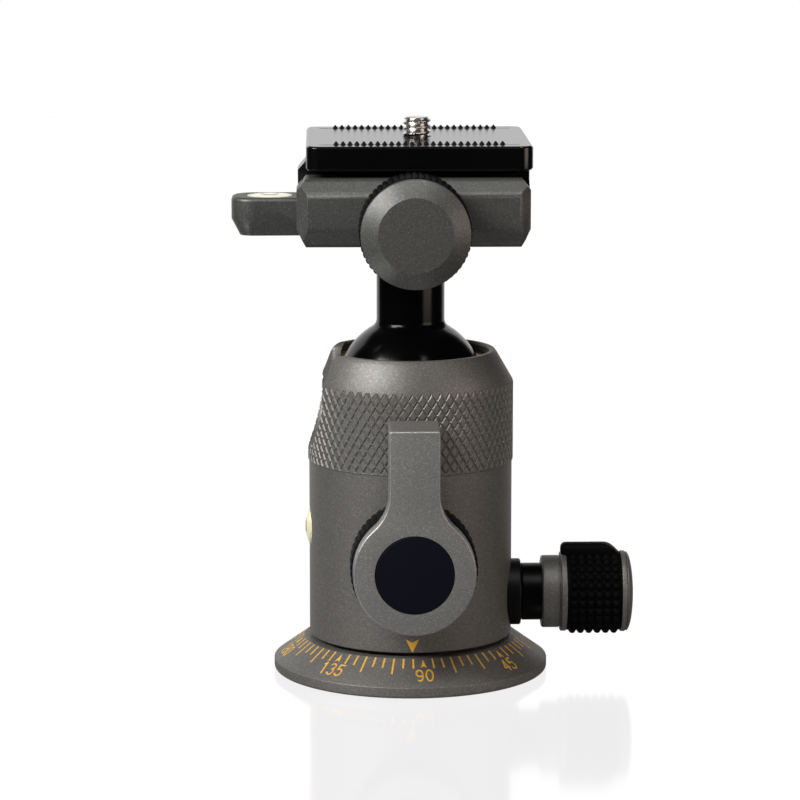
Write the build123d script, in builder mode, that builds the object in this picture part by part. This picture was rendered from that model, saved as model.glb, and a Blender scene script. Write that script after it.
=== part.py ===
from build123d import *
import os
from math import atan, cos, degrees, radians, sin, sqrt

os.makedirs("parts", exist_ok=True)

# Tripod ball head. Millimetres, +Z up along the panning axis, origin at the centre of the base's underside.
# -Y is the front, where the lock lever and the clamp knob are. The panning lock is at +X, the notch at -X.

# --- Fits ---
running_gap = 0.05
free_gap = 0.3
seat_gap = 0.1
cut_overlap = 1.0

# --- Graduated base ---
base_radius = 31.5
rim_height = 2.5
rim_round = 0.8
dial_top_radius = 24.4
dial_rise = 5.1
hub_rise = 12.8
pivot_radius = 6.4
tripod_thread_radius = 3.97
tripod_thread_depth = 10.0
tripod_thread_run_out = 1.0
bushing_wall = 2.6
retainer_thickness = 1.5
retainer_screw_radius = 1.5
retainer_screw_offset = 3.7
retainer_screw_length = 8.0

# --- Panning slip washer and housing ---
pan_washer_thickness = 0.4
housing_lift = 0.9
housing_radius = 23.25
housing_height = 65.9
hub_bore_radius = 18.0
floor_thickness = 2.4
knurl_radius = 23.5
knurl_height = 18.0
collar_rim_radius = 19.8
collar_rim_height = 0.8
collar_cone_height = 6.4
rim_lip_round = 0.7
edge_break = 0.4
lift_bore_radius = 9.1

# --- Ball, seat and cup ---
ball_radius = 17.0
ball_below_rim = 9.4
ball_bore_radius = 18.0
neck_radius = 7.75
neck_length = 36.0
neck_fillet = 2.2
seat_low = 3.5
seat_high = 7.4
notch_clearance = 0.65
notch_flare_angle = 22.0
notch_flare_start = 3.0
notch_run_out = 2.0
cup_top_drop = 8.7
cup_bore_radius = 11.0
cup_bottom_drop = 17.8
liner_thickness = 1.2
disc_spring_height = 1.7
disc_spring_thickness = 0.8
disc_spring_inner = 11.6
disc_spring_outer = 16.5
lift_flange_radius = 17.6
lift_flange_thickness = 2.2
lift_travel = 0.3

# --- Lock lever and cam shaft ---
lock_axis_height = 29.7
cam_radius = 3.7
cam_offset = 0.2
cam_phase = 130.0
cam_half_length = 8.0
cam_journal_radius = 4.0
rear_journal_radius = 3.0
rear_journal_length = 10.0
thrust_collar_radius = 5.4
thrust_collar_thickness = 0.9
lock_bush_radius = 5.55
lock_flange_radius = 8.0
lock_flange_thickness = 1.7
lock_spot_depth = 0.95
drive_flats = 6.4
lever_disc_radius = 13.65
lever_disc_thickness = 5.0
lever_reach = 32.2
lever_arm_width = 11.25
lever_flare_radius = 10.2
lever_wall = 2.0
lever_front_wall = 3.2
lever_hub_radius = 9.9
lever_grip_radius = 14.4
lever_grip_length = 8.9
lever_back_gap = 0.3
lever_cap_radius = 8.7
lever_cap_thickness = 1.0
lever_cap_recess = 0.6
lever_screw_radius = 2.0
lever_screw_head_radius = 4.2
lever_screw_head_height = 1.7
lever_screw_length = 8.0
lever_web_thickness = 1.2
lever_front_edge = 0.5
grip_rib_depth = 0.45
grip_rib_count = 54

# --- Panning lock ---
pan_axis_height = 17.45
pad_radius = 2.0
pad_length = 3.0
brake_groove_depth = 1.0
pan_bush_radius = 5.0
pan_flange_radius = 7.65
pan_flange_thickness = 3.4
pan_spot_depth = 1.25
pan_stud_radius = 2.9
pan_neck_radius = 6.6
pan_neck_length = 4.6
pan_collar_radius = 8.35
pan_collar_length = 4.0
pan_ring_radius = 9.2
pan_ring_thickness = 1.7
pan_ring_groove = 0.35
pan_grip_core_radius = 9.0
pan_grip_length = 12.6
pan_tooth_pitch = 1.93
pan_tooth_height = 0.8
pan_tooth_rows = 6
pan_teeth_around = 28
pan_lobe_height = 11.5
pan_lobe_half_width = 3.8
pan_lobe_round = 2.4
pan_lobe_slope_length = 2.2
pan_cap_radius = 9.35
pan_cap_rim = 1.2
pan_cap_dome = 1.7

# --- Body level ---
body_level_height = 33.2
body_level_radius = 5.0
body_level_depth = 3.4
body_vial_radius = 4.2
body_vial_proud = 0.9
level_cup_floor = 1.0

# --- Clamp ---
clamp_half_length = 25.7
clamp_half_width = 29.6
jaw_height = 15.0
clamp_floor_height = 9.8
knob_axis_rise = 4.8
foot_half_width = 19.0
foot_flange = 1.6
dovetail_depth = 2.5
jaw_play = 0.2
lip_thickness = 0.8
jaw_front_bevel = 3.2
jaw_foot_bevel_depth = 2.1
jaw_foot_bevel_height = 4.05
jaw_top_corner = 2.0
jaw_top_corner_height = 2.4
jaw_upright_bevel = 2.5
guide_pin_radius = 2.0
guide_pin_spacing = 34.0
guide_pin_length = 20.0
guide_pin_depth = 6.6
rear_screw_radius = 2.0
rear_screw_head_radius = 3.5
rear_screw_head_height = 3.2
rear_screw_spacing = 30.0
rear_screw_length = 16.0
clamp_bolt_radius = 3.0
clamp_bolt_head_radius = 5.0
clamp_bolt_head_height = 3.4
clamp_bolt_reach = 12.0
clamp_bolt_seat = 5.8
stop_slot_half_length = 22.9
stop_slot_half_width = 2.9
stop_slot_depth = 1.7

# --- Plate level block on the clamp ---
level_block_length = 14.9
level_block_width = 13.6
level_block_height = 8.7
level_block_corner = 5.2
level_foot_bevel = 1.9
level_foot_bevel_height = 3.7
level_centre = 31.9
level_radius = 5.2
level_depth = 4.0
level_vial_radius = 4.3
level_top_round = 0.9
level_vial_proud = 0.35

# --- Clamp knob ---
clamp_screw_radius = 3.0
clamp_screw_reach = 11.9
screw_collar_radius = 5.0
screw_collar_thickness = 1.1
knob_washer_radius = 7.0
knob_washer_thickness = 0.5
knob_clip_radius = 4.6
knob_clip_thickness = 0.8
clip_pocket_depth = 1.2
knob_core_radius = 9.4
knob_grip_radius = 12.25
knob_grip_length = 11.1
knob_cap_radius = 11.9
knob_cap_edge = 2.0
knob_cap_bevel = 2.0
knob_face_radius = 8.15

# --- Quick release plate ---
plate_length = 50.0
plate_width = 51.0
plate_shift = 1.4
plate_thickness = 5.4
plate_neck_height = 2.5
plate_lift = 0.2
plate_corner = 3.0
plate_edge = 0.45
strip_row_offset = 20.4
strip_width = 1.7
strip_inset = 0.6
strip_proud = 0.25
stud_count = 25
stud_pitch = 1.53
stud_base = 1.3
stud_height = 0.75
stop_screw_radius = 1.6
stop_screw_offset = 14.0
stop_screw_drop = 1.2
stop_screw_thread = 4.0
camera_screw_radius = 3.175
camera_screw_reach = 4.4
camera_shank_radius = 2.45
camera_thread_start = 0.2
camera_head_radius = 7.0
camera_head_height = 2.8
camera_head_recess = 0.6
camera_slot_width = 1.4
camera_slot_depth = 1.2
retaining_clip_thickness = 0.45
retaining_clip_wall = 1.6

# --- Heights and places that follow ---
dial_top = rim_height + dial_rise
hub_top = dial_top + hub_rise
hub_radius = hub_bore_radius - 2 * running_gap
floor_bottom = hub_top + pan_washer_thickness
floor_top = floor_bottom + floor_thickness
pivot_top = floor_top + running_gap
retainer_top = pivot_top + retainer_thickness
retainer_radius = lift_bore_radius - 3 * running_gap
housing_bottom = dial_top + housing_lift
rim_top = housing_bottom + housing_height
collar_cone_top = rim_top - collar_rim_height
knurl_top = collar_cone_top - collar_cone_height
knurl_bottom = knurl_top - knurl_height
ball_centre_height = rim_top - ball_below_rim
neck_top = ball_centre_height + neck_length
cup_radius = ball_bore_radius - running_gap
cup_bottom = ball_centre_height - cup_bottom_drop
cup_top = ball_centre_height - cup_top_drop
lift_flange_top = cup_bottom - disc_spring_height
lift_flange_bottom = lift_flange_top - lift_flange_thickness
ball_bore_floor = lift_flange_bottom - lift_travel - seat_gap
cam_lift = cam_offset * sin(radians(cam_phase))
lift_bottom = lock_axis_height + cam_radius + cam_lift + running_gap
lock_spot = -(housing_radius - lock_spot_depth)
lock_flange_front = lock_spot - lock_flange_thickness
lock_shoulder = -(lift_bore_radius + 0.5)
lever_back = lock_flange_front - lever_back_gap
lever_disc_back = lever_back - lever_grip_length
lever_front = lever_disc_back - lever_disc_thickness
lever_cap_seat = lever_front + lever_cap_recess + lever_cap_thickness
lever_screw_seat = lever_cap_seat + lever_screw_head_height + free_gap
pan_spot = housing_radius - pan_spot_depth
pan_neck_start = pan_spot + pan_flange_thickness + 4 * running_gap
pan_collar_start = pan_neck_start + pan_neck_length
pan_ring_start = pan_collar_start + pan_collar_length
pan_grip_start = pan_ring_start + pan_ring_thickness
pan_cap_start = pan_grip_start + pan_grip_length
clamp_bottom = neck_top
jaw_top = clamp_bottom + jaw_height
clamp_floor = clamp_bottom + clamp_floor_height
knob_axis = clamp_bottom + knob_axis_rise
jaw_wall = foot_half_width + jaw_play
lip_edge = jaw_wall - dovetail_depth
lip_bottom = jaw_top - lip_thickness
plate_foot = clamp_floor + plate_lift
plate_slope_bottom = plate_foot + foot_flange
plate_slope_top = plate_slope_bottom + dovetail_depth
plate_bottom = plate_slope_top + plate_neck_height
plate_top = plate_bottom + plate_thickness

pan_axis = Axis((0, 0, pan_axis_height), (1, 0, 0))


def front_plane(y, z):
    """A plane that faces the front: local x is +X, local y is +Z, and it extrudes towards -Y."""
    return Plane(origin=(0, y, z), x_dir=(1, 0, 0), z_dir=(0, -1, 0))


def right_plane(x, z):
    """A plane that faces +X: local x is +Y and local y is +Z."""
    return Plane(origin=(x, 0, z), x_dir=(0, 1, 0), z_dir=(1, 0, 0))


def left_plane(x, z):
    """A plane that faces -X: local x is -Y and local y is +Z."""
    return Plane(origin=(x, 0, z), x_dir=(0, -1, 0), z_dir=(-1, 0, 0))


def sphere_side(radius, drop):
    """How far a sphere's surface is from its upright axis, at a height off its centre."""
    return sqrt(radius**2 - drop**2)


def save(builder, name):
    """Label a finished piece and write it."""
    builder.part.label = name
    export_step(builder.part, f"parts/{name}.step")


# --- Base: a turned flange with a conical dial, a hub that the housing turns on, and a pivot ---
brake_groove_half = pad_radius + free_gap
groove_floor = hub_radius - brake_groove_depth
bushing_radius = tripod_thread_radius + bushing_wall
with BuildPart() as base_flange:
    with BuildSketch(Plane.XZ):
        with BuildLine():
            Polyline(
                (0, 0),
                (base_radius, 0),
                (base_radius, rim_height),
                (dial_top_radius, dial_top),
                (hub_radius, dial_top),
                (hub_radius, pan_axis_height - brake_groove_half),
                (groove_floor, pan_axis_height - brake_groove_half),
                (groove_floor, pan_axis_height + brake_groove_half),
                (hub_radius, pan_axis_height + brake_groove_half),
                (hub_radius, hub_top),
                (pivot_radius, hub_top),
                (pivot_radius, pivot_top),
                (0, pivot_top),
                close=True,
            )
        make_face()
    revolve(axis=Axis.Z)
    fillet(base_flange.edges().filter_by(GeomType.CIRCLE).group_by(Axis.Z)[0], rim_round)
    with BuildSketch(Plane.XY):
        Circle(bushing_radius)
    extrude(amount=tripod_thread_depth + tripod_thread_run_out, mode=Mode.SUBTRACT)
    with BuildSketch(Plane.XY.offset(pivot_top)):
        with PolarLocations(retainer_screw_offset, 3):
            Circle(retainer_screw_radius + running_gap)
    extrude(amount=-(retainer_screw_length - retainer_thickness + 0.5), mode=Mode.SUBTRACT)
save(base_flange, "base_flange")

with BuildPart() as tripod_bushing:
    with BuildSketch(Plane.XY):
        Circle(bushing_radius)
        Circle(tripod_thread_radius, mode=Mode.SUBTRACT)
    extrude(amount=tripod_thread_depth + tripod_thread_run_out)
save(tripod_bushing, "tripod_bushing")

# Slip washer between the hub and the housing's floor, and the disc that holds the housing down.
with BuildPart() as pan_washer:
    with BuildSketch(Plane.XY.offset(hub_top)):
        Circle(hub_radius - free_gap)
        Circle(pivot_radius + free_gap, mode=Mode.SUBTRACT)
    extrude(amount=pan_washer_thickness)
save(pan_washer, "pan_washer")

screw_head_radius = retainer_screw_radius + retainer_thickness / 2
with BuildPart() as pan_retainer:
    with BuildSketch(Plane.XY.offset(pivot_top)):
        Circle(retainer_radius)
    extrude(amount=retainer_thickness)
    with Locations(Plane.XY.offset(retainer_top)):
        with PolarLocations(retainer_screw_offset, 3):
            CounterSinkHole(
                retainer_screw_radius + running_gap,
                screw_head_radius + running_gap,
                counter_sink_angle=90,
            )
save(pan_retainer, "pan_retainer")

with BuildPart() as retainer_screws:
    with BuildSketch(Plane.XY.offset(retainer_top - running_gap)):
        with PolarLocations(retainer_screw_offset, 3):
            Circle(screw_head_radius)
    extrude(amount=-(screw_head_radius - retainer_screw_radius), taper=45)
    with BuildSketch(Plane.XY.offset(retainer_top - retainer_screw_length)):
        with PolarLocations(retainer_screw_offset, 3):
            Circle(retainer_screw_radius)
    extrude(amount=retainer_screw_length - retainer_thickness / 2)
save(retainer_screws, "retainer_screws")

# --- Housing: a turned barrel with a knurl band, a conical collar and a U-shaped drop notch ---
with BuildPart() as housing_body:
    with BuildSketch(Plane.XZ):
        with BuildLine():
            Polyline(
                (hub_bore_radius, housing_bottom),
                (housing_radius, housing_bottom),
                (housing_radius, knurl_bottom),
                (knurl_radius, knurl_bottom + edge_break),
                (knurl_radius, knurl_top),
                (collar_rim_radius, collar_cone_top),
                (collar_rim_radius - rim_lip_round, rim_top),
                (ball_bore_radius + rim_lip_round / 2, rim_top),
                (ball_bore_radius, rim_top - rim_lip_round / 2),
                (ball_bore_radius, ball_bore_floor),
                (lift_bore_radius, ball_bore_floor),
                (lift_bore_radius, floor_top),
                (pivot_radius + 2 * running_gap, floor_top),
                (pivot_radius + 2 * running_gap, floor_bottom),
                (hub_bore_radius, floor_bottom),
                close=True,
            )
        make_face()
    revolve(axis=Axis.Z)
    chamfer(
        housing_body.edges().filter_by(GeomType.CIRCLE).group_by(Axis.Z)[0].sort_by(SortBy.RADIUS)[-1],
        edge_break,
    )
    # the notch: as wide as the neck at the ball's bore and flared towards the outside
    notch_radius = neck_radius + notch_clearance
    notch_start = ball_bore_radius - notch_flare_start
    with BuildSketch(left_plane(-notch_start, ball_centre_height)):
        Circle(notch_radius)
        Rectangle(2 * notch_radius, rim_top, align=(Align.CENTER, Align.MIN))
    extrude(amount=housing_radius - notch_start + notch_run_out, taper=-notch_flare_angle, mode=Mode.SUBTRACT)
    # seat and bore of the lever's bush, the cam shaft's bores
    with BuildSketch(front_plane(lock_spot, lock_axis_height)):
        Circle(lock_flange_radius + 0.2)
    extrude(amount=housing_radius, mode=Mode.SUBTRACT)
    with BuildSketch(front_plane(lock_shoulder, lock_axis_height)):
        Circle(lock_bush_radius + running_gap)
    extrude(amount=housing_radius, mode=Mode.SUBTRACT)
    with BuildSketch(front_plane(0, lock_axis_height)):
        Circle(cam_journal_radius + free_gap)
    extrude(amount=housing_radius, mode=Mode.SUBTRACT)
    with BuildSketch(front_plane(0, lock_axis_height)):
        Circle(rear_journal_radius + running_gap)
    extrude(amount=-(cam_half_length + rear_journal_length + free_gap), mode=Mode.SUBTRACT)
    # seat and bore of the panning lock's bush
    with BuildSketch(right_plane(pan_spot, pan_axis_height)):
        Circle(pan_flange_radius + 0.2)
    extrude(amount=housing_radius, mode=Mode.SUBTRACT)
    with BuildSketch(right_plane(hub_bore_radius - cut_overlap, pan_axis_height)):
        Circle(pan_bush_radius + running_gap)
    extrude(amount=housing_radius, mode=Mode.SUBTRACT)
    # pocket of the body level
    with BuildSketch(left_plane(-(housing_radius - body_level_depth), body_level_height)):
        Circle(body_level_radius + running_gap)
    extrude(amount=housing_radius, mode=Mode.SUBTRACT)
save(housing_body, "housing_body")

# Brass ring that holds the ball down. It is screwed in from the top, and is open where the notch is.
ball_seat_radius = ball_radius + seat_gap
ring_low = ball_centre_height + seat_low
ring_high = ball_centre_height + seat_high
with BuildPart() as seat_ring:
    with BuildSketch(Plane.XZ):
        with BuildLine():
            middle = (seat_low + seat_high) / 2
            ThreePointArc(
                (sphere_side(ball_seat_radius, seat_low), ring_low),
                (sphere_side(ball_seat_radius, middle), ball_centre_height + middle),
                (sphere_side(ball_seat_radius, seat_high), ring_high),
            )
            Polyline(
                (sphere_side(ball_seat_radius, seat_high), ring_high),
                (ball_bore_radius - running_gap, ring_high),
                (ball_bore_radius - running_gap, ring_low),
                (sphere_side(ball_seat_radius, seat_low), ring_low),
            )
        make_face()
    revolve(axis=Axis.Z)
    with BuildSketch(left_plane(0, ball_centre_height)):
        Rectangle(2 * (notch_radius + free_gap), 2 * rim_top)
    extrude(amount=housing_radius, mode=Mode.SUBTRACT)
save(seat_ring, "seat_ring")

# Flanged bronze bush of the lever's cam shaft.
with BuildPart() as lock_bush:
    with BuildSketch(front_plane(lock_spot, lock_axis_height)):
        Circle(lock_flange_radius)
    extrude(amount=lock_flange_thickness)
    chamfer(lock_bush.edges().filter_by(GeomType.CIRCLE).group_by(Axis.Y)[0], edge_break)
    with BuildSketch(front_plane(lock_spot, lock_axis_height)):
        Circle(lock_bush_radius)
    extrude(amount=-(lock_shoulder - lock_spot - thrust_collar_thickness - 2 * running_gap))
    with BuildSketch(front_plane(0, lock_axis_height)):
        Circle(cam_journal_radius + running_gap)
    extrude(amount=2 * housing_radius, mode=Mode.SUBTRACT)
save(lock_bush, "lock_bush")

# Flanged bush that the panning lock's stud is screwed into.
pad_tip = groove_floor + running_gap
pad_end = pad_tip + pad_length
with BuildPart() as pan_lock_bush:
    with BuildSketch(right_plane(pan_spot, pan_axis_height)):
        Circle(pan_flange_radius)
    extrude(amount=pan_flange_thickness)
    chamfer(pan_lock_bush.edges().filter_by(GeomType.CIRCLE).group_by(Axis.X)[-1], edge_break)
    with BuildSketch(right_plane(pan_spot, pan_axis_height)):
        Circle(pan_bush_radius)
    extrude(amount=-(pan_spot - hub_bore_radius - free_gap))
    # a narrow bore guides the pad and a wide one takes the stud
    with BuildSketch(right_plane(0, pan_axis_height)):
        Circle(pad_radius + running_gap)
    extrude(amount=2 * housing_radius, mode=Mode.SUBTRACT)
    with BuildSketch(right_plane(pad_end, pan_axis_height)):
        Circle(pan_stud_radius + running_gap)
    extrude(amount=2 * housing_radius, mode=Mode.SUBTRACT)
save(pan_lock_bush, "pan_lock_bush")

# Round level in the housing's side: a cup pressed into the pocket, and a domed vial.
level_floor = -(housing_radius - body_level_depth)
with BuildPart() as body_level_cup:
    with BuildSketch(left_plane(level_floor, body_level_height)):
        Circle(body_level_radius)
    extrude(amount=body_level_depth - free_gap)
    with BuildSketch(left_plane(level_floor - level_cup_floor, body_level_height)):
        Circle(body_vial_radius + running_gap)
    extrude(amount=body_level_depth, mode=Mode.SUBTRACT)
save(body_level_cup, "body_level_cup")

with BuildPart() as body_level_vial:
    with BuildSketch(Plane.XY.offset(body_level_height)):
        with BuildLine():
            vial_back = level_floor - level_cup_floor
            vial_rim = -housing_radius
            Polyline((vial_rim, body_vial_radius), (vial_back, body_vial_radius), (vial_back, 0))
            Line((vial_back, 0), (vial_rim - body_vial_proud, 0))
            ThreePointArc(
                (vial_rim - body_vial_proud, 0),
                (vial_rim - 0.74 * body_vial_proud, body_vial_radius / 2),
                (vial_rim, body_vial_radius),
            )
        make_face()
    revolve(axis=Axis((0, 0, body_level_height), (1, 0, 0)))
save(body_level_vial, "body_level_vial")

# --- Lock: the cam lifts a block, which presses the cup against the ball through a disc spring ---
with BuildPart() as lift_block:
    with BuildSketch(Plane.XY.offset(lift_bottom)):
        Circle(lift_bore_radius - running_gap)
    extrude(amount=lift_flange_top - lift_bottom)
    with BuildSketch(Plane.XY.offset(lift_flange_bottom)):
        Circle(lift_flange_radius)
    extrude(amount=lift_flange_thickness)
    chamfer(lift_block.edges().filter_by(GeomType.CIRCLE).group_by(Axis.Z)[0], edge_break)
save(lift_block, "lift_block")

with BuildPart() as disc_spring:
    with BuildSketch(Plane.XZ):
        with BuildLine():
            Polyline(
                (disc_spring_outer, lift_flange_top),
                (disc_spring_outer, lift_flange_top + disc_spring_thickness),
                (disc_spring_inner, cup_bottom),
                (disc_spring_inner, cup_bottom - disc_spring_thickness),
                close=True,
            )
        make_face()
    revolve(axis=Axis.Z)
save(disc_spring, "disc_spring")


def bowl_arc(radius, low_side, top_drop):
    """Arc about the ball's centre, from a height under it down to a distance from the axis."""
    start = (sphere_side(radius, top_drop), ball_centre_height - top_drop)
    end = (low_side, ball_centre_height - sphere_side(radius, low_side))
    side = (start[0] + end[0]) / 2
    return start, (side, ball_centre_height - sphere_side(radius, side)), end


liner_radius = ball_radius + running_gap
bowl_radius = liner_radius + liner_thickness
with BuildPart() as ball_cup:
    with BuildSketch(Plane.XZ):
        with BuildLine():
            start, middle, end = bowl_arc(bowl_radius + running_gap, cup_bore_radius, cup_top_drop)
            ThreePointArc(start, middle, end)
            cup_corners = [(cup_bore_radius, cup_bottom), (cup_radius, cup_bottom), (cup_radius, cup_top)]
            Polyline(end, *cup_corners, start)
        make_face()
    revolve(axis=Axis.Z)
save(ball_cup, "ball_cup")

with BuildPart() as cup_liner:
    with BuildSketch(Plane.XZ):
        with BuildLine():
            inner_start, inner_middle, inner_end = bowl_arc(liner_radius, cup_bore_radius, cup_top_drop)
            outer_start, outer_middle, outer_end = bowl_arc(bowl_radius, cup_bore_radius, cup_top_drop)
            ThreePointArc(inner_start, inner_middle, inner_end)
            Line(inner_end, outer_end)
            ThreePointArc(outer_end, outer_middle, outer_start)
            Line(outer_start, inner_start)
        make_face()
    revolve(axis=Axis.Z)
save(cup_liner, "cup_liner")

# --- Ball and neck, turned in one piece and bored for the clamp's bolt ---
with BuildPart() as ball_stem:
    with BuildSketch(Plane.XZ):
        with BuildLine():
            # the fillet between ball and neck touches both
            fillet_side = neck_radius + neck_fillet
            fillet_rise = sqrt((ball_radius + neck_fillet) ** 2 - fillet_side**2)
            scale = ball_radius / (ball_radius + neck_fillet)
            ball_touch = (fillet_side * scale, ball_centre_height + fillet_rise * scale)
            neck_touch = (neck_radius, ball_centre_height + fillet_rise)
            ThreePointArc(
                (0, ball_centre_height - ball_radius),
                (ball_radius, ball_centre_height),
                ball_touch,
            )
            fillet_middle = (
                fillet_side - neck_fillet * cos(radians(30)),
                ball_centre_height + fillet_rise - neck_fillet * sin(radians(30)),
            )
            ThreePointArc(ball_touch, fillet_middle, neck_touch)
            bolt_bore = clamp_bolt_radius + running_gap
            bore_floor = neck_top - clamp_bolt_reach - free_gap
            Polyline(
                neck_touch,
                (neck_radius, neck_top - edge_break),
                (neck_radius - edge_break, neck_top),
                (bolt_bore, neck_top),
                (bolt_bore, bore_floor),
                (0, bore_floor),
                (0, ball_centre_height - ball_radius),
            )
        make_face()
    revolve(axis=Axis.Z)
save(ball_stem, "ball_stem")

# --- Lever: a disc with an arm, its back hollow, turned with the cam shaft by two flats ---
lever_half_arm = lever_arm_width / 2
flare_side = lever_half_arm + lever_flare_radius
flare_rise = sqrt((lever_disc_radius + lever_flare_radius) ** 2 - flare_side**2)
flare_scale = lever_disc_radius / (lever_disc_radius + lever_flare_radius)
arm_root = lever_grip_radius + 2 * free_gap
lever_web_back = lever_screw_seat + lever_web_thickness
with BuildPart() as lever:
    with BuildSketch(front_plane(lever_disc_back, lock_axis_height)) as lever_outline:
        Circle(lever_disc_radius)
        with BuildLine():
            flare_touch = (flare_side * flare_scale, flare_rise * flare_scale)
            flare_middle = (
                flare_side - lever_flare_radius * cos(radians(30)),
                flare_rise - lever_flare_radius * sin(radians(30)),
            )
            Polyline((0, 0), flare_touch)
            ThreePointArc(flare_touch, flare_middle, (lever_half_arm, flare_rise))
            Polyline((lever_half_arm, flare_rise), (lever_half_arm, lever_reach), (0, lever_reach), (0, 0))
        make_face()
        mirror(about=Plane.YZ)
    extrude(amount=lever_disc_thickness)
    # the arm's side and end walls reach back towards the housing
    with BuildSketch(front_plane(lever_back, lock_axis_height)):
        with Locations((0, arm_root)):
            Rectangle(lever_arm_width, lever_reach - arm_root, align=(Align.CENTER, Align.MIN))
    extrude(amount=lever_back - lever_disc_back)
    with BuildSketch(front_plane(lever_back, lock_axis_height)):
        with Locations((0, arm_root - cut_overlap)):
            Rectangle(
                lever_arm_width - 2 * lever_wall,
                lever_reach - arm_root + cut_overlap - lever_wall,
                align=(Align.CENTER, Align.MIN),
            )
    extrude(amount=lever_back - lever_front - lever_front_wall, mode=Mode.SUBTRACT)
    # hub inside the rubber ring
    with BuildSketch(front_plane(lever_back, lock_axis_height)):
        Circle(lever_hub_radius)
    extrude(amount=lever_back - lever_disc_back)
    chamfer(lever.faces().sort_by(Axis.Y)[0].edges(), lever_front_edge)
    # cap seat, screw counterbore, and the shaft's two flats
    with BuildSketch(front_plane(lever_front, lock_axis_height)):
        Circle(lever_cap_radius + running_gap)
    extrude(amount=-(lever_cap_recess + lever_cap_thickness), mode=Mode.SUBTRACT)
    with BuildSketch(front_plane(lever_screw_seat, lock_axis_height)):
        Circle(lever_screw_head_radius + 0.2)
    extrude(amount=lever_disc_thickness, mode=Mode.SUBTRACT)
    with BuildSketch(front_plane(lever_back, lock_axis_height)):
        Circle(lever_screw_radius + running_gap)
    extrude(amount=lever_back - lever_front, mode=Mode.SUBTRACT)
    with BuildSketch(front_plane(lever_back, lock_axis_height)):
        Circle(cam_journal_radius + running_gap)
        Rectangle(4 * cam_journal_radius, drive_flats + 2 * running_gap, mode=Mode.INTERSECT)
    extrude(amount=lever_back - lever_web_back, mode=Mode.SUBTRACT)
save(lever, "lever")


def ribbed_ring(outer, inner):
    """Ring outline with a groove between each two ribs."""
    Circle(outer)
    with PolarLocations(outer, grip_rib_count):
        RegularPolygon(grip_rib_depth, 4, mode=Mode.SUBTRACT)
    Circle(inner, mode=Mode.SUBTRACT)


with BuildPart() as lever_grip:
    with BuildSketch(front_plane(lever_back, lock_axis_height)):
        ribbed_ring(lever_grip_radius, lever_hub_radius + running_gap)
    extrude(amount=lever_grip_length)
save(lever_grip, "lever_grip")

with BuildPart() as lever_cap:
    with BuildSketch(front_plane(lever_cap_seat, lock_axis_height)):
        Circle(lever_cap_radius)
    extrude(amount=lever_cap_thickness)
save(lever_cap, "lever_cap")

with BuildPart() as lever_screw:
    with BuildSketch(front_plane(lever_screw_seat, lock_axis_height)):
        Circle(lever_screw_head_radius)
    extrude(amount=lever_screw_head_height)
    with BuildSketch(front_plane(lever_screw_seat, lock_axis_height)):
        Circle(lever_screw_radius)
    extrude(amount=-lever_screw_length)
save(lever_screw, "lever_screw")

# Cam shaft: drive end, front journal, thrust collar, eccentric cam and rear journal.
with BuildPart() as cam_shaft:
    with BuildSketch(front_plane(lock_flange_front, lock_axis_height)):
        Circle(cam_journal_radius)
        Rectangle(4 * cam_journal_radius, drive_flats, mode=Mode.INTERSECT)
    extrude(amount=lock_flange_front - lever_web_back - running_gap)
    with BuildSketch(front_plane(lock_shoulder, lock_axis_height)):
        Circle(cam_journal_radius)
    extrude(amount=lock_shoulder - lock_flange_front)
    with BuildSketch(front_plane(lock_shoulder - running_gap, lock_axis_height)):
        Circle(thrust_collar_radius)
    extrude(amount=thrust_collar_thickness)
    with BuildSketch(front_plane(cam_half_length, lock_axis_height)):
        with Locations((cam_offset * cos(radians(cam_phase)), cam_lift)):
            Circle(cam_radius)
    extrude(amount=cam_half_length - lock_shoulder)
    with BuildSketch(front_plane(cam_half_length + rear_journal_length, lock_axis_height)):
        Circle(rear_journal_radius)
    extrude(amount=rear_journal_length)
    with BuildSketch(front_plane(lever_screw_seat, lock_axis_height)):
        Circle(lever_screw_radius + running_gap)
    extrude(amount=-(lever_screw_length + free_gap), mode=Mode.SUBTRACT)
save(cam_shaft, "cam_shaft")

# --- Panning lock: a knob on a stud that pushes a soft pad into the hub's groove ---
with BuildPart() as pan_brake_pad:
    with BuildSketch(right_plane(pad_tip, pan_axis_height)):
        Circle(pad_radius)
    extrude(amount=pad_length)
save(pan_brake_pad, "pan_brake_pad")

stud_start = pad_end + running_gap
stud_end = pan_grip_start + pan_grip_length - pan_cap_rim
with BuildPart() as pan_knob_stud:
    with BuildSketch(right_plane(stud_start, pan_axis_height)):
        Circle(pan_stud_radius)
    extrude(amount=stud_end - stud_start)
    with BuildSketch(right_plane(pan_neck_start, pan_axis_height)):
        Circle(pan_neck_radius)
    extrude(amount=pan_neck_length)
save(pan_knob_stud, "pan_knob_stud")


def lobe_outline(top):
    """Rounded tab that stands up from the knob's axis to a height above it."""
    with Locations((0, top / 2)):
        RectangleRounded(2 * pan_lobe_half_width, top, pan_lobe_round)


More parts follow.
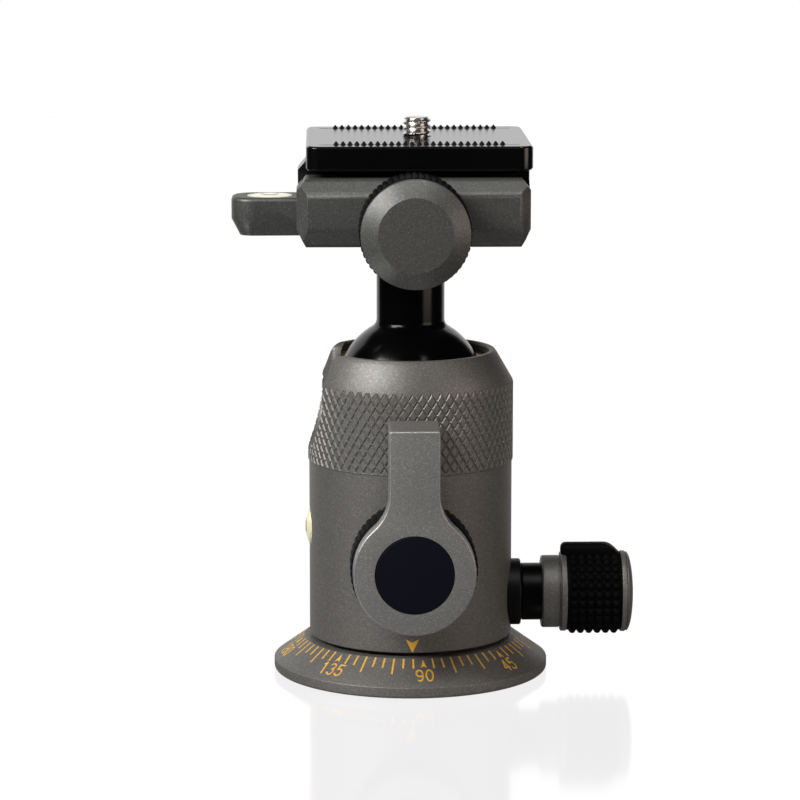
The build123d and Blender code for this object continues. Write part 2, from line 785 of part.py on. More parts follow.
with BuildPart() as pan_knob_collar:
    with BuildSketch(right_plane(pan_collar_start, pan_axis_height)):
        Circle(pan_collar_radius)
    extrude(amount=pan_collar_length)
    chamfer(pan_knob_collar.edges().filter_by(GeomType.CIRCLE).group_by(Axis.X)[0], edge_break)
    with BuildSketch(right_plane(pan_ring_start + pan_ring_groove, pan_axis_height)):
        Circle(pan_ring_radius)
        lobe_outline(pan_lobe_height)
    extrude(amount=pan_ring_thickness - pan_ring_groove)
    with BuildSketch(right_plane(pan_ring_start, pan_axis_height)):
        Circle(pan_collar_radius - pan_ring_groove)
    extrude(amount=pan_ring_thickness)
    with BuildSketch(right_plane(pan_collar_start, pan_axis_height)):
        Circle(pan_stud_radius + running_gap)
    extrude(amount=pan_collar_length + pan_ring_thickness, mode=Mode.SUBTRACT)
save(pan_knob_collar, "pan_knob_collar")

tooth_tip = pan_grip_core_radius + pan_tooth_height
tooth_start = pan_grip_start + (pan_grip_length - pan_tooth_rows * pan_tooth_pitch) / 2
with BuildPart() as pan_knob_grip:
    # rings of teeth, then grooves along the grip that part them
    with BuildSketch(Plane.XY.offset(pan_axis_height)):
        with BuildLine():
            profile = [(pan_grip_start, pan_grip_core_radius), (tooth_start, pan_grip_core_radius)]
            for row in range(pan_tooth_rows):
                row_start = tooth_start + row * pan_tooth_pitch
                profile.append((row_start + 0.35 * pan_tooth_pitch, tooth_tip))
                profile.append((row_start + 0.65 * pan_tooth_pitch, tooth_tip))
                profile.append((row_start + pan_tooth_pitch, pan_grip_core_radius))
            profile.append((pan_cap_start, pan_grip_core_radius))
            Polyline(*profile, (pan_cap_start, 0), (pan_grip_start, 0), close=True)
        make_face()
    revolve(axis=pan_axis)
    with BuildSketch(right_plane(pan_grip_start, pan_axis_height)):
        Circle(tooth_tip + cut_overlap)
        with PolarLocations(tooth_tip, pan_teeth_around, start_angle=90):
            RegularPolygon(pan_tooth_height, 4, mode=Mode.SUBTRACT)
    extrude(amount=pan_grip_length, mode=Mode.INTERSECT)
    # the lobe's top falls away towards the cap
    with BuildSketch(right_plane(pan_grip_start, pan_axis_height)):
        lobe_outline(pan_lobe_height)
    extrude(amount=pan_grip_length)
    with BuildSketch(front_plane(pan_lobe_half_width, pan_axis_height)):
        with BuildLine():
            Polyline(
                (pan_cap_start - pan_lobe_slope_length, pan_lobe_height),
                (pan_cap_start, pan_lobe_height),
                (pan_cap_start, pan_grip_core_radius),
                close=True,
            )
        make_face()
    extrude(amount=2 * pan_lobe_half_width, mode=Mode.SUBTRACT)
    with BuildSketch(right_plane(pan_grip_start, pan_axis_height)):
        Circle(pan_stud_radius + running_gap)
    extrude(amount=pan_grip_length, mode=Mode.SUBTRACT)
save(pan_knob_grip, "pan_knob_grip")

with BuildPart() as pan_knob_cap:
    with BuildSketch(Plane.XY.offset(pan_axis_height)):
        with BuildLine():
            cap_rim_end = pan_cap_start + pan_cap_rim
            Polyline((cap_rim_end, pan_cap_radius), (pan_cap_start, pan_cap_radius), (pan_cap_start, 0))
            Line((pan_cap_start, 0), (cap_rim_end + pan_cap_dome, 0))
            ThreePointArc(
                (cap_rim_end + pan_cap_dome, 0),
                (cap_rim_end + 0.75 * pan_cap_dome, pan_cap_radius / 2),
                (cap_rim_end, pan_cap_radius),
            )
        make_face()
    revolve(axis=pan_axis)
save(pan_knob_cap, "pan_knob_cap")

# --- Clamp body: a flat block with bevelled ends, and a rounded nose that holds the level ---
clamp_span = 2 * clamp_half_length
rear_screw_seat = clamp_half_width - rear_screw_head_height - free_gap
rear_screw_end = rear_screw_seat - rear_screw_length
pin_front = -jaw_wall - guide_pin_depth
nose_angle = degrees(atan(level_foot_bevel / level_foot_bevel_height))


def end_profile(height, corner, corner_height):
    """Outline from the front: straight sides, a bevel at each foot and a corner cut at each top end."""
    Polygon(
        (jaw_foot_bevel_depth - clamp_half_length, 0),
        (clamp_half_length - jaw_foot_bevel_depth, 0),
        (clamp_half_length, jaw_foot_bevel_height),
        (clamp_half_length, height - corner_height),
        (clamp_half_length - corner, height),
        (corner - clamp_half_length, height),
        (-clamp_half_length, height - corner_height),
        (-clamp_half_length, jaw_foot_bevel_height),
        align=None,
    )


with BuildPart() as clamp_body:
    with BuildSketch(Plane.XY.offset(clamp_bottom + level_foot_bevel_height)):
        with Locations((-clamp_half_length - level_block_length, 0)):
            Rectangle(1.5 * level_block_length, level_block_width, align=(Align.MIN, Align.CENTER))
    extrude(amount=level_block_height - level_foot_bevel_height)
    nose_edges = clamp_body.edges().filter_by(Axis.Z).group_by(Axis.X)[0]
    fillet(nose_edges, level_block_corner)
    nose_foot = clamp_body.faces().sort_by(Axis.Z)[0]
    extrude(nose_foot, amount=level_foot_bevel_height, taper=nose_angle)
    fillet(clamp_body.faces().sort_by(Axis.Z)[-1].edges(), level_top_round)
    with BuildSketch(front_plane(jaw_wall, clamp_bottom)):
        end_profile(clamp_floor_height, edge_break, edge_break)
    extrude(amount=2 * jaw_wall - free_gap)
    with BuildSketch(Plane.XY.offset(clamp_bottom + level_block_height)):
        with Locations((-level_centre, 0)):
            Circle(level_radius + running_gap)
    extrude(amount=-level_depth, mode=Mode.SUBTRACT)
    # bolt seat, and the slot that the plate's stop screws run in
    with BuildSketch(Plane.XY.offset(clamp_bottom)):
        Circle(clamp_bolt_radius + running_gap)
    extrude(amount=jaw_height, mode=Mode.SUBTRACT)
    with BuildSketch(Plane.XY.offset(clamp_bottom + clamp_bolt_seat)):
        Circle(clamp_bolt_head_radius + 4 * running_gap)
    extrude(amount=jaw_height, mode=Mode.SUBTRACT)
    with BuildSketch(Plane.XY.offset(clamp_floor)):
        SlotOverall(2 * stop_slot_half_length, 2 * stop_slot_half_width)
    extrude(amount=-stop_slot_depth, mode=Mode.SUBTRACT)
    # clamp screw, guide pins, rear jaw screws
    with BuildSketch(front_plane(clamp_screw_reach - jaw_wall, knob_axis)):
        Circle(clamp_screw_radius + running_gap)
    extrude(amount=jaw_wall, mode=Mode.SUBTRACT)
    with BuildSketch(front_plane(pin_front + guide_pin_length, knob_axis)):
        with GridLocations(guide_pin_spacing, 1, 2, 1):
            Circle(guide_pin_radius + running_gap)
    extrude(amount=jaw_wall, mode=Mode.SUBTRACT)
    with BuildSketch(front_plane(jaw_wall, knob_axis)):
        with GridLocations(rear_screw_spacing, 1, 2, 1):
            Circle(rear_screw_radius + running_gap)
    extrude(amount=jaw_wall - rear_screw_end + free_gap, mode=Mode.SUBTRACT)
save(clamp_body, "clamp_body")


# Both jaws start from one bar. Its lip leans over the plate's foot, and its outer side is bevelled.
jaw_bevel_start = clamp_half_width - jaw_upright_bevel
with BuildPart() as jaw_bar:
    with BuildSketch(right_plane(-clamp_half_length, 0)):
        Polygon(
            (-jaw_wall, clamp_bottom),
            (jaw_foot_bevel_depth - clamp_half_width, clamp_bottom),
            (-clamp_half_width, clamp_bottom + jaw_foot_bevel_height),
            (-clamp_half_width, jaw_top - jaw_front_bevel),
            (jaw_front_bevel - clamp_half_width, jaw_top),
            (-lip_edge, jaw_top),
            (-lip_edge, lip_bottom),
            (-jaw_wall, lip_bottom - dovetail_depth),
            align=None,
        )
    extrude(amount=clamp_span)
    with BuildSketch(front_plane(0, clamp_bottom)):
        end_profile(jaw_height, jaw_top_corner, jaw_top_corner_height)
    extrude(amount=clamp_half_width, mode=Mode.INTERSECT)
    with BuildSketch(Plane.XY.offset(clamp_bottom)):
        Polygon(
            (-clamp_half_length, 0),
            (-clamp_half_length, -jaw_bevel_start),
            (jaw_upright_bevel - clamp_half_length, -clamp_half_width),
            (clamp_half_length - jaw_upright_bevel, -clamp_half_width),
            (clamp_half_length, -jaw_bevel_start),
            (clamp_half_length, 0),
            align=None,
        )
    extrude(amount=jaw_height, mode=Mode.INTERSECT)

with BuildPart() as front_jaw:
    add(jaw_bar.part)
    with BuildSketch(front_plane(0, knob_axis)):
        Circle(clamp_screw_radius + free_gap)
    extrude(amount=2 * clamp_half_width, mode=Mode.SUBTRACT)
    with BuildSketch(front_plane(0, knob_axis)):
        Circle(knob_clip_radius + free_gap)
    extrude(amount=jaw_wall + clip_pocket_depth, mode=Mode.SUBTRACT)
    with BuildSketch(front_plane(0, knob_axis)):
        with GridLocations(guide_pin_spacing, 1, 2, 1):
            Circle(guide_pin_radius + 2 * running_gap)
    extrude(amount=free_gap - pin_front, mode=Mode.SUBTRACT)
save(front_jaw, "front_jaw")

with BuildPart() as rear_jaw:
    mirror(jaw_bar.part, about=Plane.XZ)
    with BuildSketch(front_plane(clamp_half_width, knob_axis)):
        with GridLocations(rear_screw_spacing, 1, 2, 1):
            Circle(rear_screw_radius + running_gap)
    extrude(amount=clamp_half_width, mode=Mode.SUBTRACT)
    with BuildSketch(front_plane(clamp_half_width, knob_axis)):
        with GridLocations(rear_screw_spacing, 1, 2, 1):
            Circle(rear_screw_head_radius + 4 * running_gap)
    extrude(amount=clamp_half_width - rear_screw_seat, mode=Mode.SUBTRACT)
save(rear_jaw, "rear_jaw")

with BuildPart() as rear_jaw_screws:
    with BuildSketch(front_plane(rear_screw_seat + rear_screw_head_height, knob_axis)):
        with GridLocations(rear_screw_spacing, 1, 2, 1):
            Circle(rear_screw_head_radius)
            RegularPolygon(rear_screw_radius, 6, mode=Mode.SUBTRACT)
    extrude(amount=rear_screw_head_height)
    with BuildSketch(front_plane(rear_screw_seat + rear_screw_head_height / 2, knob_axis)):
        with GridLocations(rear_screw_spacing, 1, 2, 1):
            Circle(rear_screw_radius)
    extrude(amount=rear_screw_length + rear_screw_head_height / 2)
save(rear_jaw_screws, "rear_jaw_screws")

with BuildPart() as guide_pins:
    with BuildSketch(front_plane(pin_front + guide_pin_length, knob_axis)):
        with GridLocations(guide_pin_spacing, 1, 2, 1):
            Circle(guide_pin_radius)
    extrude(amount=guide_pin_length)
save(guide_pins, "guide_pins")

with BuildPart() as clamp_bolt:
    with BuildSketch(Plane.XY.offset(clamp_bottom + clamp_bolt_seat)):
        Circle(clamp_bolt_head_radius)
    extrude(amount=clamp_bolt_head_height)
    with BuildSketch(Plane.XY.offset(clamp_bottom - clamp_bolt_reach)):
        Circle(clamp_bolt_radius)
    extrude(amount=clamp_bolt_reach + clamp_bolt_seat)
    with BuildSketch(Plane.XY.offset(clamp_bottom + clamp_bolt_seat + clamp_bolt_head_height)):
        RegularPolygon(clamp_bolt_radius, 6)
    extrude(amount=-clamp_bolt_head_height / 2, mode=Mode.SUBTRACT)
save(clamp_bolt, "clamp_bolt")

# Level on the clamp's nose: a cup pressed into the pocket, and a domed vial.
nose_top = clamp_bottom + level_block_height
with BuildPart() as level_cup:
    with BuildSketch(Plane.XY.offset(nose_top - level_depth)):
        with Locations((-level_centre, 0)):
            Circle(level_radius)
    extrude(amount=level_depth)
    with BuildSketch(Plane.XY.offset(nose_top - level_depth + level_cup_floor)):
        with Locations((-level_centre, 0)):
            Circle(level_vial_radius + running_gap)
    extrude(amount=level_depth, mode=Mode.SUBTRACT)
save(level_cup, "level_cup")

level_dome_radius = (level_vial_radius**2 + level_vial_proud**2) / (2 * level_vial_proud)
with BuildPart() as level_vial:
    with BuildSketch(Plane.XY.offset(nose_top - level_depth + level_cup_floor)):
        with Locations((-level_centre, 0)):
            Circle(level_vial_radius)
    extrude(amount=level_depth - level_cup_floor + level_vial_proud)
    with Locations((-level_centre, 0, nose_top + level_vial_proud - level_dome_radius)):
        Sphere(level_dome_radius, mode=Mode.INTERSECT)
save(level_vial, "level_vial")

# --- Clamp knob: a screw that draws the jaw in, with a bevelled cap and a ribbed rubber ring ---
jaw_front = -clamp_half_width
washer_front = jaw_front - knob_washer_thickness
collar_front = washer_front - screw_collar_thickness
core_back = collar_front - 4 * running_gap
core_front = core_back - knob_grip_length
knob_face = core_front - knob_cap_edge - knob_cap_bevel
screw_tip = clamp_screw_reach - jaw_wall - free_gap
screw_start = core_front - knob_cap_edge / 2
with BuildPart() as clamp_screw:
    with BuildSketch(front_plane(screw_tip, knob_axis)):
        Circle(clamp_screw_radius)
    extrude(amount=screw_tip - screw_start)
    with BuildSketch(front_plane(washer_front, knob_axis)):
        Circle(screw_collar_radius)
    extrude(amount=screw_collar_thickness)
save(clamp_screw, "clamp_screw")

with BuildPart() as knob_washer:
    with BuildSketch(front_plane(jaw_front, knob_axis)):
        Circle(knob_washer_radius)
        Circle(clamp_screw_radius + running_gap, mode=Mode.SUBTRACT)
    extrude(amount=knob_washer_thickness)
save(knob_washer, "knob_washer")

clip_back = -jaw_wall - 4 * running_gap
with BuildPart() as knob_clip:
    with BuildSketch(front_plane(clip_back, knob_axis)):
        Circle(knob_clip_radius)
        Circle(clamp_screw_radius + running_gap, mode=Mode.SUBTRACT)
        with Locations((0, -knob_clip_radius)):
            Rectangle(clamp_screw_radius, 2 * clamp_screw_radius, mode=Mode.SUBTRACT)
    extrude(amount=knob_clip_thickness)
save(knob_clip, "knob_clip")

with BuildPart() as clamp_knob_cap:
    with BuildSketch(front_plane(core_back, knob_axis)):
        Circle(knob_core_radius)
    extrude(amount=knob_grip_length)
    with BuildSketch(Plane.XY.offset(knob_axis)):
        Polygon(
            (0, core_front),
            (knob_cap_radius, core_front),
            (knob_cap_radius, core_front - knob_cap_edge),
            (knob_face_radius, knob_face),
            (0, knob_face),
            align=None,
        )
    revolve(axis=Axis((0, 0, knob_axis), (0, 1, 0)))
    with BuildSketch(front_plane(core_back, knob_axis)):
        Circle(clamp_screw_radius + running_gap)
    extrude(amount=core_back - screw_start + free_gap, mode=Mode.SUBTRACT)
save(clamp_knob_cap, "clamp_knob_cap")

with BuildPart() as clamp_knob_grip:
    with BuildSketch(front_plane(core_back, knob_axis)):
        Circle(knob_grip_radius)
        with PolarLocations(knob_grip_radius, grip_rib_count):
            RegularPolygon(grip_rib_depth, 4, mode=Mode.SUBTRACT)
        Circle(knob_core_radius + running_gap, mode=Mode.SUBTRACT)
    extrude(amount=knob_grip_length)
save(clamp_knob_grip, "clamp_knob_grip")

# --- Quick release plate: a dovetail foot, two strips of studs and the captive camera screw ---
foot_narrow = foot_half_width - dovetail_depth
head_top = plate_foot + camera_head_recess + camera_head_height
strip_length = plate_length - 2 * plate_corner
strip_floor = plate_top - strip_inset
stop_screw_bottom = plate_foot - stop_screw_drop
with BuildPart() as quick_release_plate:
    with BuildSketch(Plane.XY.offset(plate_bottom)):
        with Locations((plate_shift, 0)):
            RectangleRounded(plate_length, plate_width, plate_corner)
    extrude(amount=plate_thickness)
    chamfer(quick_release_plate.faces().filter_by(Axis.Z).edges(), plate_edge)
    with BuildSketch(right_plane(plate_shift - plate_length / 2 + plate_edge, 0)):
        Polygon(
            (-foot_half_width, plate_foot),
            (foot_half_width, plate_foot),
            (foot_half_width, plate_slope_bottom),
            (foot_narrow, plate_slope_top),
            (foot_narrow, plate_bottom),
            (-foot_narrow, plate_bottom),
            (-foot_narrow, plate_slope_top),
            (-foot_half_width, plate_slope_bottom),
            align=None,
        )
    extrude(amount=plate_length - 2 * plate_edge)
    with BuildSketch(Plane.XY.offset(plate_foot)):
        with Locations((plate_shift, 0)):
            Circle(camera_screw_radius + 2 * running_gap)
    extrude(amount=jaw_height, mode=Mode.SUBTRACT)
    with BuildSketch(Plane.XY.offset(plate_foot)):
        with Locations((plate_shift, 0)):
            Circle(camera_head_radius + free_gap)
    extrude(amount=head_top - plate_foot, mode=Mode.SUBTRACT)
    with BuildSketch(Plane.XY.offset(plate_foot)):
        with Locations((plate_shift, 0)):
            with GridLocations(2 * stop_screw_offset, 1, 2, 1):
                Circle(stop_screw_radius + running_gap)
    extrude(amount=stop_screw_thread + free_gap, mode=Mode.SUBTRACT)
    with BuildSketch(Plane.XY.offset(strip_floor)):
        with Locations((plate_shift, 0)):
            with GridLocations(1, 2 * strip_row_offset, 1, 2):
                Rectangle(strip_length + 2 * running_gap, strip_width + 2 * running_gap)
    extrude(amount=strip_inset, mode=Mode.SUBTRACT)
save(quick_release_plate, "quick_release_plate")

with BuildPart() as grip_strips:
    with BuildSketch(Plane.XY.offset(strip_floor)):
        with Locations((plate_shift, 0)):
            with GridLocations(1, 2 * strip_row_offset, 1, 2):
                Rectangle(strip_length, strip_width)
    extrude(amount=strip_inset + strip_proud)
    with BuildSketch(Plane.XY.offset(plate_top + strip_proud)):
        with Locations((plate_shift, 0)):
            with GridLocations(stud_pitch, 2 * strip_row_offset, stud_count, 2):
                Rectangle(stud_base, stud_base)
    extrude(amount=stud_height, taper=degrees(atan(0.42 * stud_base / stud_height)))
save(grip_strips, "grip_strips")

with BuildPart() as stop_screws:
    with BuildSketch(Plane.XY.offset(stop_screw_bottom)):
        with Locations((plate_shift, 0)):
            with GridLocations(2 * stop_screw_offset, 1, 2, 1):
                Circle(stop_screw_radius)
    extrude(amount=stop_screw_drop + stop_screw_thread)
save(stop_screws, "stop_screws")

with BuildPart() as screw_clip:
    with BuildSketch(Plane.XY.offset(plate_foot + running_gap)):
        with Locations((plate_shift, 0)):
            Circle(camera_head_radius + free_gap - running_gap)
            Circle(camera_head_radius + free_gap - retaining_clip_wall, mode=Mode.SUBTRACT)
    extrude(amount=retaining_clip_thickness)
save(screw_clip, "screw_clip")

# 1/4"-20 screw with a slotted head, for a coin or a screwdriver from below.
with BuildPart() as camera_screw:
    with BuildSketch(Plane.XY.offset(plate_foot + camera_head_recess)):
        with Locations((plate_shift, 0)):
            Circle(camera_head_radius)
    extrude(amount=camera_head_height - running_gap)
    with BuildSketch(Plane.XY.offset(plate_foot + camera_head_recess)):
        with Locations((plate_shift, 0)):
            Circle(camera_shank_radius)
    extrude(amount=plate_top + camera_screw_reach - plate_foot - camera_head_recess)
    with BuildSketch(Plane.XY.offset(plate_top + camera_thread_start)):
        with Locations((plate_shift, 0)):
            Circle(camera_screw_radius)
    extrude(amount=camera_screw_reach - camera_thread_start)
    chamfer(camera_screw.edges().filter_by(GeomType.CIRCLE).group_by(Axis.Z)[-1], edge_break)
    with BuildSketch(Plane.XY.offset(plate_foot + camera_head_recess)):
        with Locations((plate_shift, 0)):
            Rectangle(2 * camera_head_radius, camera_slot_width)
    extrude(amount=camera_slot_depth, mode=Mode.SUBTRACT)
save(camera_screw, "camera_screw")
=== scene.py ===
import bpy
import bmesh
from math import atan2, cos, pi, radians, sin, sqrt, tan
from mathutils import Matrix, Vector


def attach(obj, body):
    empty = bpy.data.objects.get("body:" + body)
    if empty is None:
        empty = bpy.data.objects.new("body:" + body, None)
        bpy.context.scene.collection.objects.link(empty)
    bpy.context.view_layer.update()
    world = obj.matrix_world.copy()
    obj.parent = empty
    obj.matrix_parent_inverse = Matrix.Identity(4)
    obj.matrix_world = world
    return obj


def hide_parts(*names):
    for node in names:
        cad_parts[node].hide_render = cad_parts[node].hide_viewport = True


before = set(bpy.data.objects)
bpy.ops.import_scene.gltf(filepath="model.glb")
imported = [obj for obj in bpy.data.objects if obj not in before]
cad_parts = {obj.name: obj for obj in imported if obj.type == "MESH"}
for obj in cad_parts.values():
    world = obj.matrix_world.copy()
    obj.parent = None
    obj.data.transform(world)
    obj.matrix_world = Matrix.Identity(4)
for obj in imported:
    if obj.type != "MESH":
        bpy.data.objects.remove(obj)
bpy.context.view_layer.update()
mm = 0.001

# ----------------------------------------
# Base flange: turned from aluminium, with a conical dial, a hub that the housing turns on and a
# pivot. Painted grey with a fine metallic grain, like most of the head.


def node(tree, kind, feeds=(), **settings):
    """A new node: its own settings, and its inputs as values or as other nodes' outputs."""
    made = tree.nodes.new(kind)
    for name, value in settings.items():
        setattr(made, name, value)
    for name, value in dict(feeds).items():
        if isinstance(value, bpy.types.NodeSocket):
            tree.links.new(value, made.inputs[name])
        else:
            made.inputs[name].default_value = value
    return made


def sums(operation, *values):
    """The result of a Math node, whose values are numbers and other nodes' outputs."""
    tree = next(value.id_data for value in values if isinstance(value, bpy.types.NodeSocket))
    return node(tree, "ShaderNodeMath", enumerate(values), operation=operation).outputs[0]


def ranged(value, before, after, **settings):
    """A node's output carried over from one range to another."""
    ends = {"From Min": before[0], "From Max": before[1], "To Min": after[0], "To Max": after[1]}
    ends["Value"] = value
    return node(value.id_data, "ShaderNodeMapRange", ends, **settings).outputs["Result"]


def finish(
    name, colour, rough, metal=0.0, coat=0.0, grain=0.0, size=0.25, bump=0.0, spread=0.0, sparkle=0.0,
    shine=0.5,
):
    """A paint, metal, rubber or plastic with a fine grain in its colour, gloss and surface."""
    material = bpy.data.materials.new(name)
    material.use_nodes = True
    tree = material.node_tree
    shader = tree.nodes["Principled BSDF"].inputs
    shader["Base Color"].default_value = (*colour, 1)
    shader["Roughness"].default_value = rough
    shader["Metallic"].default_value = metal
    shader["Specular IOR Level"].default_value = shine
    shader["Coat Weight"].default_value = coat
    shader["Coat Roughness"].default_value = 0.1
    place = node(tree, "ShaderNodeTexCoord").outputs["Object"]
    noise = {"Vector": place, "Scale": 1 / (size * mm), "Detail": 3}
    grains = node(tree, "ShaderNodeTexNoise", noise).outputs["Fac"]
    usual = (0.3, 0.7)  # most of the grain lies in this range
    if grain:
        tint = ranged(grains, usual, (1 - grain, 1 + grain))
        if sparkle:
            # flakes in the paint: a few cells are much lighter than the rest
            flakes = node(tree, "ShaderNodeTexVoronoi", {"Vector": place, "Scale": 1 / (1.1 * size * mm)})
            tint = sums("ADD", tint, ranged(flakes.outputs["Color"], (0.62, 1.0), (0, sparkle)))
        tinted = node(tree, "ShaderNodeVectorMath", {0: colour, "Scale": tint}, operation="SCALE")
        tree.links.new(tinted.outputs["Vector"], shader["Base Color"])
    if spread:
        tree.links.new(ranged(grains, usual, (rough - spread, rough + spread)), shader["Roughness"])
    if bump:
        raised = node(tree, "ShaderNodeBump", {"Distance": bump * mm, "Height": grains})
        tree.links.new(raised.outputs["Normal"], shader["Normal"])
    return material


def rounded(corners, steps=6):
    """Closed outline from corners (x, y, radius), each turned through an arc of that radius."""
    outline = []
    for i, (x, y, radius) in enumerate(corners):
        here = Vector((x, y))
        if radius <= 0:
            outline.append((x, y))
            continue
        back = (Vector(corners[i - 1][:2]) - here).normalized()
        ahead = (Vector(corners[(i + 1) % len(corners)][:2]) - here).normalized()
        half = back.angle(ahead) / 2
        centre = here + (back + ahead).normalized() * (radius / sin(half))
        start = here + back * (radius / tan(half)) - centre
        stop = here + ahead * (radius / tan(half)) - centre
        first = atan2(start.y, start.x)
        turn = (atan2(stop.y, stop.x) - first + pi) % (2 * pi) - pi
        for k in range(steps + 1):
            angle = first + turn * k / steps
            outline.append((centre.x + radius * cos(angle), centre.y + radius * sin(angle)))
    return outline


def smooth(obj, crease=32):
    """Smooth shading, with the edges above an angle kept sharp."""
    obj.data.polygons.foreach_set("use_smooth", [True] * len(obj.data.polygons))
    obj.data.set_sharp_from_angle(angle=radians(crease))
    return obj


def welded(mesh, thin=False):
    """Join points that lie together, drop faces too thin to keep, and turn all faces outwards."""
    work = bmesh.new()
    work.from_mesh(mesh)
    bmesh.ops.remove_doubles(work, verts=work.verts, dist=1e-7)
    if thin:
        bmesh.ops.dissolve_degenerate(work, edges=work.edges, dist=1e-7)
    bmesh.ops.recalc_face_normals(work, faces=work.faces)
    work.to_mesh(mesh)
    work.free()


def placed(name, data):
    """A new object in the scene, with its mesh, light or camera."""
    obj = bpy.data.objects.new(name, data)
    bpy.context.scene.collection.objects.link(obj)
    return obj


def solid(name, verts, faces, material, crease=32):
    """A mesh object from points in millimetres, with outward normals and edges sharp above an angle."""
    mesh = bpy.data.meshes.new(name)
    mesh.from_pydata([tuple(c * mm for c in v) for v in verts], [], faces)
    welded(mesh)
    mesh.materials.append(material)
    return smooth(placed(name, mesh), crease)


def lathe(outline, axis="Z", centre=(0, 0, 0), segments=160):
    """Points and faces of a closed outline of (radius, place along the axis), turned about an axis."""
    verts, faces, rings = [], [], []
    for radius, along in outline:
        if radius < 1e-6:
            rings.append([len(verts)])
            verts.append((0, 0, along))
            continue
        rings.append(list(range(len(verts), len(verts) + segments)))
        for k in range(segments):
            angle = 2 * pi * k / segments
            verts.append((radius * sin(angle), -radius * cos(angle), along))
    for i, ring in enumerate(rings):
        after = rings[(i + 1) % len(rings)]
        if len(ring) == 1 and len(after) == 1:
            continue
        for k in range(segments):
            n = (k + 1) % segments
            if len(ring) == 1:
                faces.append((ring[0], after[k], after[n]))
            elif len(after) == 1:
                faces.append((ring[k], ring[n], after[0]))
            else:
                faces.append((ring[k], ring[n], after[n], after[k]))
    turn = {"Z": lambda p: p, "Y": lambda p: (p[0], p[2], -p[1]), "X": lambda p: (p[2], p[0], -p[1])}[axis]
    return [tuple(c + o for c, o in zip(turn(p), centre)) for p in verts], faces


def turning(name, corners, material, axis="Z", centre=(0, 0, 0), segments=160, steps=6):
    """A turned piece, from corners (radius, place along the axis, radius of the broken edge)."""
    return solid(name, *lathe(rounded(corners, steps), axis, centre, segments), material)


def add_to(obj, body, slot, *nodes):
    """The piece rides on a body and stands for CAD nodes, which are hidden. The slot is not used."""
    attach(obj, body)
    if nodes:
        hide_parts(*nodes)


grey_paint = finish(
    "grey_paint", (0.18, 0.174, 0.163), 0.53, metal=0.62, grain=0.2, size=0.19, bump=0.014, sparkle=0.8
)
base_radius, rim_height, dial_radius, dial_top = 31.5, 2.5, 24.4, 7.6
hub_radius, hub_top, groove_radius, groove_low, groove_high = 17.9, 20.4, 16.9, 15.1, 19.8
pivot_radius, pivot_top, bore_radius, bore_top = 6.4, 23.25, 6.6, 11.0
base = turning(
    "base_flange_look",
    [
        (bore_radius, 0, 0.3), (base_radius, 0, 0.8), (base_radius, rim_height, 0.25),
        (dial_radius, dial_top, 0.2), (hub_radius, dial_top, 0), (hub_radius, groove_low, 0),
        (groove_radius, groove_low, 0), (groove_radius, groove_high, 0), (hub_radius, groove_high, 0),
        (hub_radius, hub_top, 0), (pivot_radius, hub_top, 0), (pivot_radius, pivot_top, 0),
        (0, pivot_top, 0), (0, bore_top, 0), (bore_radius, bore_top, 0),
    ],
    grey_paint, segments=240,
)
add_to(base, "base", "painted_grey", "base_flange")

# ----------------------------------------
# Dial: yellow ink printed on the cone. A line every 5 degrees, each third one longer, and at every
# ninth an arrow with its number below. The numbers grow to the left, as on a dial read from outside.
yellow_ink = finish("yellow_ink", (0.8, 0.44, 0.045), 0.5, grain=0.08)
slope = Vector((base_radius - dial_radius, rim_height - dial_top)).normalized()
ink_rise, ink_root, line_start, line_half = 0.02, -0.05, 0.12, 0.2


def on_cone(across, down, rise=ink_rise):
    """A point of the dial's front: across it, down its slope from the top edge, and off it."""
    radius = dial_radius + down * slope.x - rise * slope.y
    angle = across / radius
    return (radius * sin(angle), -radius * cos(angle), dial_top + down * slope.y + rise * slope.x)


def ink_patch(corners):
    """A thin closed slab of ink over an outline given as (across, down) on the cone."""
    count = len(corners)
    verts = [on_cone(x, y) for x, y in corners] + [on_cone(x, y, ink_root) for x, y in corners]
    faces = [tuple(range(count)), tuple(range(2 * count - 1, count - 1, -1))]
    faces += [(k, (k + 1) % count, count + (k + 1) % count, count + k) for k in range(count)]
    return verts, faces


def dial_line(length):
    """One line, down the slope from the top edge."""
    left, right = -line_half, line_half
    return ink_patch([(left, line_start), (right, line_start), (right, length), (left, length)])


def plain(obj):
    """Turn an object with modifiers into a plain mesh."""
    bpy.context.view_layer.update()
    made = bpy.data.meshes.new_from_object(obj.evaluated_get(bpy.context.evaluated_depsgraph_get()))
    obj.modifiers.clear()
    obj.data = made
    return obj


def new_tree(name, **sizes):
    """A Geometry Nodes tree and its inputs: a piece, the named sizes and a finish."""
    tree = bpy.data.node_groups.new(name, "GeometryNodeTree")
    inputs = [("Piece", "Geometry", None)]
    for key, value in sizes.items():
        kind = "Int" if isinstance(value, int) else "Float"
        inputs.append((key.capitalize().replace("_", " "), kind, value))
    for title, kind, value in inputs + [("Finish", "Material", None)]:
        item = tree.interface.new_socket(name=title, in_out="INPUT", socket_type="NodeSocket" + kind)
        if value is not None:
            item.default_value = value
    tree.interface.new_socket(name="Geometry", in_out="OUTPUT", socket_type="NodeSocketGeometry")
    return tree, node(tree, "NodeGroupInput").outputs


def xyz(**parts):
    """A vector put together from other nodes' outputs as its X, Y and Z."""
    return node(next(iter(parts.values())).id_data, "ShaderNodeCombineXYZ", parts).outputs["Vector"]


def moved(geometry, places):
    """Geometry with its points moved to other places."""
    feeds = {"Geometry": geometry, "Position": places}
    return node(geometry.id_data, "GeometryNodeSetPosition", feeds).outputs["Geometry"]


